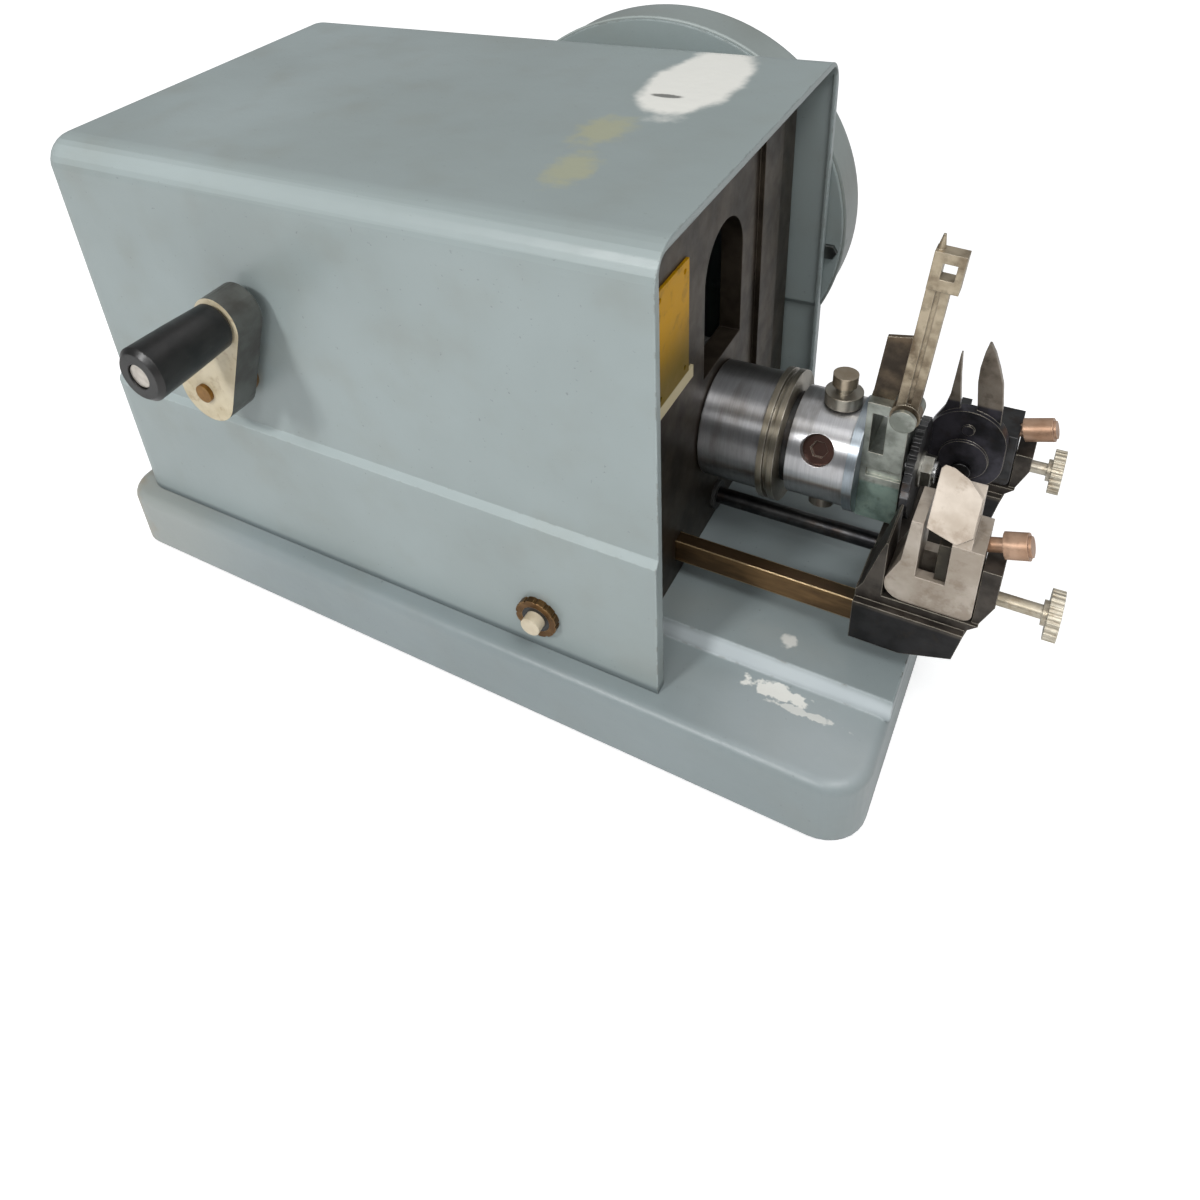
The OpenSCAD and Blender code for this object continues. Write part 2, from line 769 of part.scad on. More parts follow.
module shaft_stand() {
    foot_t = 8;
    color([0.30, 0.32, 0.32])
    difference() {
        union() {
            block([cross_x - 16, cross_x + 16], [stand_post_y[0][0], stand_post_y[1][1]],
                [bed_top, bed_top + foot_t]);
            for (y = stand_post_y) {
                block([cross_x - 11, cross_x + 11], y, [bed_top, cross_z]);
                y_rod(18, y, cross_x, cross_z);
            }
        }
        for (y = stand_post_y) y_rod(bearing_r + fit_gap, [y[0] - 1, y[1] + 1], cross_x, cross_z);
        for (p = stand_bolt_places)
            z_rod(bolt_r + seat_gap, [bed_top - 1, bed_top + foot_t + 1], p[0], p[1]);
    }
}

module shaft_bearings() {
    color([0.72, 0.60, 0.36])
    for (y = stand_post_y) difference() {
        y_rod(bearing_r, y, cross_x, cross_z);
        y_rod(cross_r + fit_gap, [y[0] - 1, y[1] + 1], cross_x, cross_z);
    }
}

module cross_shaft() {
    color([0.68, 0.68, 0.68]) y_rod(cross_r, [27, 175], cross_x, cross_z);
}

// A grooved belt pulley, drawn along +Z with its belt groove in the middle
module pulley(belt_r, bore_r) {
    groove_half = belt_w / 2 + move_gap;
    rim = belt_r + belt_t + 2;
    floor_r = belt_r - move_gap;
    rotate_extrude($fn = 48) polygon([
        [bore_r, -pulley_w / 2], [rim, -pulley_w / 2], [rim, -groove_half], [floor_r, -groove_half],
        [floor_r, groove_half], [rim, groove_half], [rim, pulley_w / 2], [bore_r, pulley_w / 2]]);
}

module driven_pulley() {
    color([0.55, 0.56, 0.57])
    translate([cross_x, belt_y, cross_z]) rotate([-90, 0, 0]) pulley(driven_belt_r, cross_r + fit_gap);
}

module motor_pulley() {
    color([0.55, 0.56, 0.57])
    translate([motor_x, belt_y, motor_z]) rotate([-90, 0, 0]) pulley(motor_belt_r, motor_shaft_r + fit_gap);
}

module belt_outline(grow) {
    hull() {
        translate([motor_x, motor_z]) circle(motor_belt_r + grow, $fn = 72);
        translate([cross_x, cross_z]) circle(driven_belt_r + grow, $fn = 72);
    }
}

module drive_belt() {
    color([0.10, 0.10, 0.10])
    xz_plate([belt_y - belt_w / 2, belt_y + belt_w / 2]) difference() {
        belt_outline(belt_t);
        belt_outline(0);
    }
}

// ---- Motor ----

motor_shaft_r = 7;
motor_foot_z = 156;
motor_bolt_x = [motor_x - 53, motor_x + 53];
motor_bolt_y = [10, 98];

module motor_body() {
    fins = 28;
    cap = 16;
    color([0.30, 0.34, 0.36])
    difference() {
        union() {
            y_rod(motor_r - 3, [motor_y0 + 2, motor_y1 - 2], motor_x, motor_z);
            for (y = [[motor_y0, motor_y0 + cap], [motor_y1 - cap, motor_y1]])
                y_rod(motor_r, y, motor_x, motor_z);
            y_rod(16, [motor_y1, motor_y1 + 5], motor_x, motor_z);
            // Cooling fins along the stator
            for (i = [0:fins - 1]) translate([motor_x, 0, motor_z]) rotate([0, i * 360 / fins, 0])
                block([motor_r - 5, motor_r - 0.4], [motor_y0 + cap - 1, motor_y1 - cap + 1], [-1.2, 1.2]);
            // Foot plate and the saddle that joins it to the stator
            block([motor_x - 62, motor_x + 62], [motor_y0 + 4, motor_y1 - 4],
                [motor_foot_z, motor_foot_z + 8]);
            block([motor_x - 40, motor_x + 40], [motor_y0 + 5, motor_y1 - 5],
                [motor_foot_z + 1, motor_z - 20]);
        }
        y_rod(motor_shaft_r + fit_gap, [motor_y0 + 30, motor_y1 + 6], motor_x, motor_z);
        for (x = motor_bolt_x, y = motor_bolt_y)
            z_rod(bolt_r + seat_gap, [motor_foot_z - 1, motor_foot_z + 9], x, y);
    }
}

module motor_stand() {
    plate_z = [150, motor_foot_z];
    leg_x = [-84, -6];
    leg_y = [0, 97];
    leg_t = 8;
    foot_t = 6;
    color([0.30, 0.32, 0.32])
    difference() {
        union() {
            block([motor_x - 62, motor_x + 62], [-4, 112], plate_z);
            for (y = leg_y) {
                block(leg_x, [y, y + leg_t], [bed_top, plate_z[1]]);
                block(leg_x, [y - 13, y + leg_t], [bed_top, bed_top + foot_t]);
            }
            block([leg_x[0], leg_x[0] + 6], [leg_y[0], leg_y[1] + leg_t], [110, plate_z[1]]);
        }
        for (y = leg_y) block([-66, -24], [y - 1, y + leg_t + 1], [bed_top + 24, 128]);
        for (p = motor_foot_places) z_rod(bolt_r + seat_gap, [bed_top - 1, bed_top + 7], p[0], p[1]);
        for (x = motor_bolt_x, y = motor_bolt_y)
            z_rod(bolt_r + seat_gap, [plate_z[0] - 1, plate_z[1] + 1], x, y);
    }
}

module motor_bolts() {
    color([0.35, 0.34, 0.32]) {
        for (p = motor_foot_places) frame_bolt(p, bed_top + 6, 17);
        for (p = stand_bolt_places) frame_bolt(p, bed_top + 8, 19);
        for (x = motor_bolt_x, y = motor_bolt_y) frame_bolt([x, y], motor_foot_z + 8, 14);
    }
}

module motor_shaft() {
    color([0.68, 0.68, 0.68]) y_rod(motor_shaft_r, [motor_y0 + 31, 175], motor_x, motor_z);
}

// ---- Switch and cord gland ----

button_r = 5.5;
barrel_r = 8;

module switch_body() {
    color([0.12, 0.12, 0.12])
    difference() {
        union() {
            y_rod(barrel_r, [cover_y0 - 4, cover_y0 + 18], button_x, button_z);
            block([button_x - 13, button_x + 13], [cover_y0 + 8, cover_y0 + 40],
                [button_z - 9, button_z + 11]);
        }
        y_rod(button_r + 2 * fit_gap, [cover_y0 - 5, cover_y0 + 22], button_x, button_z);
    }
}

module switch_nut() {
    color([0.50, 0.40, 0.26])
    difference() {
        y_rod(12, [cover_y0 - 4, cover_y0], button_x, button_z);
        y_rod(barrel_r + seat_gap, [cover_y0 - 5, cover_y0 + 1], button_x, button_z);
        for (i = [0:11]) translate([button_x, 0, button_z]) rotate([0, 30 * i, 0])
            translate([12.6, cover_y0 - 5, 0]) rotate([-90, 0, 0]) cylinder(r = 1.2, h = 6, $fn = 16);
    }
}

module power_button() {
    color([0.80, 0.76, 0.70]) y_rod(button_r, [cover_y0 - 10, cover_y0 + 16], button_x, button_z);
}

module cord_gland() {
    color([0.10, 0.10, 0.10])
    difference() {
        union() {
            x_rod(13, [cover_x0 - 5, cover_x0], gland_y, gland_z);
            x_rod(10, [cover_x0 - 5, cover_x0 + 10], gland_y, gland_z);
        }
        x_rod(4, [cover_x0 - 6, cover_x0 + 11], gland_y, gland_z);
    }
}

// ---- Crank and feed ----

grip_x = crank_x + crank_r * sin(crank_lean);
grip_z = crank_z + crank_r * cos(crank_lean);
crank_shaft_r = 7;
grip_pin_r = 3.5;
hood_y0 = cover_y0 + joggle;

module crank_bush() {
    color([0.62, 0.50, 0.30])
    difference() {
        union() {
            y_rod(15, [hood_y0 - 2.5, hood_y0], crank_x, crank_z);
            y_rod(11, [hood_y0 - 2.5, hood_y0 + 20], crank_x, crank_z);
        }
        y_rod(crank_shaft_r + fit_gap, [hood_y0 - 4, hood_y0 + 21], crank_x, crank_z);
    }
}

module crank_shaft() {
    color([0.66, 0.66, 0.66]) y_rod(crank_shaft_r, [grip_y1 + 4, -30], crank_x, crank_z);
}

module crank_arm() {
    hub_r = 19;
    tip_r = 15;
    color([0.80, 0.76, 0.66])
    difference() {
        xz_plate([grip_y1, arm_y1]) hull() {
            translate([crank_x, crank_z]) circle(hub_r, $fn = hull_fn);
            translate([grip_x, grip_z]) circle(tip_r, $fn = hull_fn);
        }
        y_rod(crank_shaft_r + fit_gap, [grip_y1 + 4, arm_y1 + 1], crank_x, crank_z);
        y_rod(2.5 + seat_gap, [grip_y1 - 1, grip_y1 + 5], crank_x, crank_z);
        y_rod(grip_pin_r + fit_gap, [grip_y1 - 1, arm_y1 - 5], grip_x, grip_z);
    }
}

module crank_screws() {
    color([0.66, 0.48, 0.20]) y_rod(5.5, [grip_y1 - 2.4, grip_y1], crank_x, crank_z);
    color([0.66, 0.48, 0.20]) y_rod(2.5, [grip_y1 - 1, grip_y1 + 3.9], crank_x, crank_z);
    color([0.75, 0.75, 0.74]) {
        y_rod(grip_pin_r, [grip_y0 + 1, arm_y1 - 5.1], grip_x, grip_z);
        y_rod(6.5, [grip_y0 + 1, grip_y0 + 4], grip_x, grip_z);
    }
}

module crank_grip() {
    length = grip_y1 - move_gap - grip_y0;
    color([0.05, 0.05, 0.05])
    translate([grip_x, grip_y0, grip_z]) rotate([-90, 0, 0])
    difference() {
        rotate_extrude() {
            polygon([[0, 0], [12.5, 0], [15, 2.5], [14.2, 26], [13, length - 1.5], [11.5, length],
                [0, length]]);
        }
        translate([0, 0, -1]) cylinder(r = grip_pin_r + 2 * fit_gap, h = length + 2);
        translate([0, 0, -1]) cylinder(r = 7, h = 1 + 4.4);
    }
}

// Angle between an involute's start and its point at radius r, in degrees
function involute(base, r) = let (a = acos(min(1, base / r))) tan(a) * 180 / PI - a;

pressure = 25;
backlash = 0.14;
addendum = feed_module;
dedendum = 1.25 * feed_module;

module feed_pinion() {
    base = pinion_r * cos(pressure);
    tip = pinion_r + addendum;
    root = pinion_r - dedendum;
    steps = 5;
    mid = 90 / pinion_teeth - backlash / pinion_r * 180 / PI + involute(base, pinion_r);
    radii = concat([root], [for (i = [0:steps]) base + (tip - base) * i / steps]);
    color([0.55, 0.52, 0.45])
    difference() {
        // Each tooth runs up one flank from the root and down the other
        translate([crank_x, pinion_y[1], crank_z]) rotate([90, 0, 0])
            linear_extrude(pinion_y[1] - pinion_y[0]) rotate(-90)
                polygon([for (i = [0:pinion_teeth - 1], side = [-1, 1], k = [0:steps + 1])
                    let (r = radii[side < 0 ? k : steps + 1 - k],
                        a = i * 360 / pinion_teeth + side * (mid - involute(base, r)))
                    r * [cos(a), sin(a)]]);
        y_rod(crank_shaft_r + fit_gap, [pinion_y[0] - 1, pinion_y[1] + 1], crank_x, crank_z);
    }
}

module feed_bar() {
    pitch = PI * feed_module;
    line_z = crank_z - pinion_r;
    half = pitch / 4 - backlash;
    slope = tan(pressure);
    root_z = line_z - dedendum;
    tip_z = line_z + addendum;
    rack_x = [-192, -84];
    y = [bar_y - bar_t / 2, bar_y + bar_t / 2];
    color([0.60, 0.46, 0.28])
    union() {
        block([-100, car_x0 + bar_seat], y, [bar_z0, bar_z1]);
        block([-100, rack_x[1]], y, [bar_z0, root_z - 1]);
        // Rack under the pinion, with a gap below the crank shaft at rest
        xz_plate(y) polygon(concat([[rack_x[0], root_z - 10], [rack_x[0], root_z]],
            [for (i = [-8:7]) let (x = crank_x + (i + 0.5) * pitch) each [
                [x - half - dedendum * slope, root_z], [x - half + addendum * slope, tip_z],
                [x + half - addendum * slope, tip_z], [x + half + dedendum * slope, root_z]]],
            [[rack_x[1], root_z], [rack_x[1], root_z - 10]]));
    }
}

module guide_blocks() {
    color([0.34, 0.34, 0.33]) {
        for (x = [[-30, -10], [68, frame_x0]]) difference() {
            block(x, [bar_y - 16, bar_y + 16], [bed_top, bar_z1 + 10]);
            block([x[0] - 1, x[1] + 1], [bar_y - bar_t / 2 - move_gap, bar_y + bar_t / 2 + move_gap],
                [bar_z0 - move_gap, bar_z1 + move_gap]);
        }
    }
    color([0.62, 0.50, 0.30]) difference() {
        x_rod(9, [44, frame_x1 + 2], spindle_y, rod_z);
        x_rod(rod_r + fit_gap, [43, frame_x1 + 3], spindle_y, rod_z);
    }
}

module guide_rod() {
    color([0.10, 0.10, 0.10]) x_rod(rod_r, [50, car_x0 + rod_seat], spindle_y, rod_z);
}

// ---- Carriage ----

// One vise's part of the carriage, with its back wall and its thumb screw's nut block
module vise_seat(wall_top, nut_top) {
    xz_plate([near_y - 14, near_y + 15.5]) polygon([
        [car_x0, 84], [240, 84], [242, 93], [246, car_z1], [car_x0, car_z1]]);
    xz_plate([near_y - 14, near_y + 15.5]) polygon([
        [car_x0, car_z1 - 1], [car_x0 + 3, car_z1 + 5], [200 - (131 - wall_top) / 4, wall_top - 6],
        [202, wall_top], [203, wall_top], [203, car_z1 - 1]]);
    xz_plate([near_y - 12, near_y + 12]) polygon([
        [243, car_z1 - 1], [245.5, car_z1 - 1], [car_x1, 110], [car_x1, nut_top], [243, nut_top]]);
}

module carriage() {
    nose_x = 241;
    color([0.13, 0.13, 0.14])
    difference() {
        union() {
            // Cross saddle under both vises, its lower working end cut back
            xz_plate([near_y - 18, near_y + vise_pitch + 18]) polygon([
                [car_x0, car_z0], [215, car_z0], [nose_x - 3, 75], [nose_x, 92], [car_x0, 92]]);
            x_rod(10, [car_x0 + 4, car_x0 + rod_seat + 3], spindle_y, rod_z + 1);
            vise_seat(131, 130);
            translate([0, vise_pitch, 0]) vise_seat(112, 119);
        }
        // The saddle is cut back between the two vises
        block([228, nose_x + 1], [near_y + 18, near_y + vise_pitch - 18], [car_z0 - 6, 93]);
        block([car_x0 - 1, car_x0 + bar_seat + seat_gap],
            [bar_y - bar_t / 2 - seat_gap, bar_y + bar_t / 2 + seat_gap],
            [bar_z0 - seat_gap, bar_z1 + seat_gap]);
        x_rod(rod_r + fit_gap, [car_x0 - 1, car_x0 + rod_seat + seat_gap], spindle_y, rod_z);
        for (y = [near_y, near_y + vise_pitch]) x_rod(thumb_stem_r + 0.08, [242, car_x1 + 1], y, thumb_z);
    }
}

function arc(x, z, r, from, to) =
    [for (i = [0:8]) let (a = from + (to - from) * i / 8) [x + r * cos(a), z + r * sin(a)]];

module jaw_outline(left_top, right_top) {
    heel_r = 9.5;
    toe_r = 4.5;
    polygon(concat(
        arc(jaw_x0 + heel_r, car_z1 + heel_r, heel_r, 150, 270),
        arc(jaw_x1 - toe_r, car_z1 + toe_r, toe_r, 270, 360),
        [[jaw_x1, right_top], [slot_x1, right_top], [slot_x1, 115], [slot_x0, 115],
        [slot_x0, left_top], [slot_x0 - 5, left_top], [209, 123]]));
}

// The slot under the key slot's floor where the pad's foot meets the thumb screw
module jaw_bores(z) {
    block([slot_x0, slot_x1], [near_y - 7, near_y + 7], [car_z1 - 1, 116]);
    x_rod(thumb_stem_r + move_gap, [slot_x1 - 1, jaw_x1 + 1], near_y, thumb_z);
    at_plunger(z) translate([0, 0, -15]) cylinder(r = plunger_r + 0.08, h = 20);
}

// Puts +Z along a plunger that leaves the jaw at height z
module at_plunger(z) {
    translate([jaw_x1, near_y, z]) rotate([0, 90 - plunger_tilt, 0]) children();
}

module near_jaw() {
    y = [near_y - jaw_d / 2, near_y + jaw_d / 2];
    color([0.80, 0.78, 0.72])
    difference() {
        union() {
            xz_plate(y) jaw_outline(148, 140);
            // Sloped key rest on the clamp arm
            yz_plate([slot_x1, 237]) polygon([
                [y[0], 139], [y[0], 140], [y[1], 140 + jaw_d - 8], [y[1], 139]]);
            translate([0, y[0], 141]) rotate([45, 0, 0]) translate([0, 0, -5]) linear_extrude(5) polygon([
                [slot_x0 + 1, 4], [230.5, 0], [236.5, 5], [236.5, 23], [229.5, 30], [222.5, 33.5],
                [slot_x0 + 2.5, 34], [slot_x0 + 1, 32]]);
        }
        jaw_bores(near_plunger_z);
    }
}

module far_jaw() {
    y = [near_y - jaw_d / 2, near_y + jaw_d / 2];
    color([0.22, 0.23, 0.25])
    translate([0, vise_pitch, 0]) difference() {
        xz_plate(y) jaw_outline(130, 130);
        jaw_bores(far_plunger_z);
    }
    // Pin that the key gauge turns on, with its head and a spacer
    color([0.22, 0.23, 0.25]) {
        y_rod(gauge_pin_r, [gauge_y[0] - 2.6, near_y + vise_pitch - jaw_d / 2 + 4], gauge_x, gauge_z);
        y_rod(5, [gauge_y[0] - 4.6, gauge_y[0] - 2.4], gauge_x, gauge_z);
        y_rod(6, [gauge_y[1] + 0.3, near_y + vise_pitch - jaw_d / 2 + 0.1], gauge_x, gauge_z);
    }
}

// The sliding pad that clamps a key, with a foot below the slot's floor
module pad_shape() {
    x = [slot_x1 - 0.3 - pad_t, slot_x1 - 0.3];
    difference() {
        union() {
            block(x, [near_y - 11, near_y + 11], [115.4, 137]);
            block(x, [near_y - 6.6, near_y + 6.6], [car_z1 + move_gap, 117]);
        }
        x_rod(thumb_tip_r + fit_gap, [x[1] - 3, x[1] + 1], near_y, thumb_z);
        // Serrations on the clamping face
        for (z = [119:4:135])
            translate([x[0], near_y, z]) rotate([0, 45, 0]) cube([0.8, 24, 0.8], center = true);
    }
}

// A thumb screw with a round head whose outer face stands at head_x
module thumb_screw_shape(head_x) {
    head_t = 5.5;
    x_rod(thumb_tip_r, [slot_x1 - 3, slot_x1 + 1], near_y, thumb_z);
    x_rod(thumb_stem_r, [slot_x1 + 0.4, head_x], near_y, thumb_z);
    x_rod(6, [head_x - head_t - 2, head_x - head_t], near_y, thumb_z);
    difference() {
        x_rod(thumb_r, [head_x - head_t, head_x], near_y, thumb_z);
        for (i = [0:23]) translate([0, near_y, thumb_z]) rotate([15 * i, 0, 0])
            translate([head_x - head_t - 1, thumb_r + 0.5, 0]) rotate([0, 90, 0])
                cylinder(r = 1.1, h = head_t + 2, $fn = 16);
        x_rod(9, [head_x - 1, head_x + 1], near_y, thumb_z);
    }
}

// A spring plunger with a round pull knob, tilted up from the jaw's side
module plunger_shape(z, neck, knob_l) {
    knob_r = 6.3;
    at_plunger(z) {
        translate([0, 0, -11]) cylinder(r = plunger_r, h = 12 + neck);
        translate([0, 0, neck]) cylinder(r = knob_r, h = knob_l);
        translate([0, 0, neck + knob_l]) cylinder(r = knob_r - 1.5, h = 1.2);
    }
}

module near_pad() {
    color([0.55, 0.55, 0.55]) pad_shape();
}

module near_thumb_screw() {
    color([0.12, 0.12, 0.12]) thumb_screw_shape(277);
}

module near_plunger() {
    color([0.66, 0.42, 0.28]) plunger_shape(near_plunger_z, 7, 10);
}

module far_pad() {
    color([0.55, 0.55, 0.55]) translate([0, vise_pitch, 0]) pad_shape();
}

module far_thumb_screw() {
    color([0.12, 0.12, 0.12]) translate([0, vise_pitch, 0]) thumb_screw_shape(266);
}

module far_plunger() {
    color([0.66, 0.42, 0.28]) translate([0, vise_pitch, 0]) plunger_shape(far_plunger_z, 2, 14);
}

// ---- Gauge and setting lever ----

module key_gauge() {
    hub_r = 19;
    hub_z = [116, 127];
    blade_y = [gauge_y[1] - 4, gauge_y[1] - 1];
    color([0.72, 0.72, 0.70]) {
        difference() {
            union() {
                xz_plate(gauge_y) {
                    for (z = hub_z) translate([gauge_x, z]) circle(hub_r);
                    translate([gauge_x - hub_r, hub_z[0]]) square([2 * hub_r, hub_z[1] - hub_z[0]]);
                }
                // Wide leaf blade and thin spike that show the key's shoulder
                xz_plate(blade_y) {
                    polygon([
                        [222.5, 130], [221.2, 149], [219.4, 163], [219.2, 172], [220, 180], [221.3, 186.5],
                        [222.2, 186.5], [225, 181.5], [228.2, 173], [231, 164], [233, 150], [234, 130]]);
                    polygon([
                        [202, 131], [203, 137], [206, 143.5], [207.8, 152], [208.6, 165], [209.4, 178],
                        [210.1, 178], [211.2, 165], [213, 150], [214.5, 131]]);
                }
                y_rod(3, [gauge_y[0] - 1.5, gauge_y[0]], gauge_x, hub_z[1] + 8);
                y_rod(12, [gauge_y[0] - 2, gauge_y[0]], gauge_x, hub_z[0]);
            }
            y_rod(gauge_pin_r + fit_gap, [gauge_y[0] - 3, gauge_y[1] + 1], gauge_x, gauge_z);
        }
    }
}

module setting_lever() {
    lean = 4.6;
    head_z = [71, 90];
    bar_y = [-6.5, -0.5];
    color([0.70, 0.66, 0.58])
    translate([lever_x, 0, lever_z]) rotate([0, lean, 0]) difference() {
        union() {
            // Two parallel bars joined by the pivot boss, a thin web and the head
            y_rod(7, [-6.7, -0.3], 0, 0);
            block([-5, -0.8], bar_y, [4, head_z[0] + 1]);
            block([1.2, 5], bar_y, [4, head_z[0] + 1]);
            block([-1, 1.5], [-5, -2], [5, head_z[0]]);
            block([-5, 8.5], [-7.5, 0], head_z);
            translate([-3, -3.5, head_z[1] - 1]) cylinder(r1 = 2, r2 = 0.6, h = 8, $fn = 24);
        }
        y_rod(lever_pin_r + fit_gap, [-9, 1], 0, 0);
        block([-0.5, 5.5], [-8, 1], [head_z[0] + 6, head_z[1] - 5]);
    }
}

base();
rubber_feet();
cover();
cover_screws();
guard_plate();
belt_guard();
guard_bolts();
end_frame();
end_frame_bolts();
amber_plate();
headstock();
headstock_bolts();
quill_sleeve();
quill_collar();
nose_ring();
clamp_head();
clamp_screws();
face_plate();
slot_block();
chip_shield();
spindle_bearings();
spindle();
spindle_gear();
cutter_wheel();
cutter_nut();
shaft_stand();
shaft_bearings();
cross_shaft();
cross_gear();
driven_pulley();
drive_belt();
motor_body();
motor_stand();
motor_bolts();
motor_shaft();
motor_pulley();
switch_body();
switch_nut();
power_button();
cord_gland();
crank_bush();
crank_shaft();
crank_arm();
crank_screws();
crank_grip();
feed_pinion();
guide_blocks();
feed_bar();
guide_rod();
carriage();
near_jaw();
near_pad();
near_thumb_screw();
near_plunger();
far_jaw();
far_pad();
far_thumb_screw();
far_plunger();
key_gauge();
setting_lever();
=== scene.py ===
import json
import math

import bmesh
import bpy
from mathutils import Matrix, Vector


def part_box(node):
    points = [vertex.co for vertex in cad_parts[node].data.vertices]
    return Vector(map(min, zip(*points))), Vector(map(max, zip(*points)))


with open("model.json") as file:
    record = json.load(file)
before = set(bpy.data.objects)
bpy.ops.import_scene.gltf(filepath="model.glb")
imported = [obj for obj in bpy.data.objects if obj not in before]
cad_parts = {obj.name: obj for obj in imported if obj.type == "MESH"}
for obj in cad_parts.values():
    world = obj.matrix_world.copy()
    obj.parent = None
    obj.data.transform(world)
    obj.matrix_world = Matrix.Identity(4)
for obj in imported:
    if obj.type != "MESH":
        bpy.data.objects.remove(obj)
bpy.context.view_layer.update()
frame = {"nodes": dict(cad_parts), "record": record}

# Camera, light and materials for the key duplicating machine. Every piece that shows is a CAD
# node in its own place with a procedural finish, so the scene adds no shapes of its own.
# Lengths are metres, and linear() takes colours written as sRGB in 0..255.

# ---- Camera, at the photograph's viewing angle ----

IMAGE = 1200  # pixels along each side of the picture
FOCAL = 1001.6  # pixels
AXIS = (500, 330)  # the pixel that the camera's axis goes through
AZIMUTH, ELEVATION, ROLL = 34.81, 31.89, -6.38  # degrees
EYE = Vector((0.2541, -0.4173, 0.4763))
SENSOR = 36  # millimetres
CLIP = (0.01, 50)


def add_camera():
    azimuth, elevation, roll = map(math.radians, (AZIMUTH, ELEVATION, ROLL))
    back = Vector((
        math.sin(azimuth) * math.cos(elevation),
        -math.cos(azimuth) * math.cos(elevation),
        math.sin(elevation),
    ))
    level = Vector((math.cos(azimuth), math.sin(azimuth), 0))
    right = math.cos(roll) * level + math.sin(roll) * back.cross(level)
    up = back.cross(right)
    data = bpy.data.cameras.new("camera")
    data.sensor_width = SENSOR
    data.lens = FOCAL / IMAGE * SENSOR
    data.shift_x = (IMAGE / 2 - AXIS[0]) / IMAGE
    data.shift_y = (AXIS[1] - IMAGE / 2) / IMAGE
    data.clip_start, data.clip_end = CLIP
    camera = bpy.data.objects.new("camera", data)
    turn = Matrix((right, up, back)).transposed().to_4x4()
    camera.matrix_world = Matrix.Translation(EYE) @ turn
    bpy.context.scene.collection.objects.link(camera)
    bpy.context.scene.camera = camera


# ---- Tools for materials ----

SRGB_STRAIGHT = 10.3  # of 255, up to which sRGB is a straight line
COLOUR_A, COLOUR_B, COLOUR_OUT = 6, 7, 2  # the colour sockets of a Mix node
SEED_STEP = (1.7, 0.9, 2.3)  # how far each seed moves a noise
BEVEL_SAMPLES = 4
# Cosines of the turn that a bevel gives the normal, where an edge starts and where it is full
EDGE_COSINES = (0.985, 0.90)
BLOT_SWING = 3  # how far full raggedness moves a blot's rim, in half sizes per unit of noise


def linear(red, green, blue):
    """An sRGB colour in 0..255 as the linear colour that shaders take."""
    return tuple(
        c / 255 / 12.92 if c <= SRGB_STRAIGHT else ((c / 255 + 0.055) / 1.055) ** 2.4
        for c in (red, green, blue)
    )


def lifted(colour, gain, offset):
    """A paler colour, for rubbed edges, scuffs, dust and painted highlights."""
    return tuple(min(1, c * gain + offset) for c in colour)


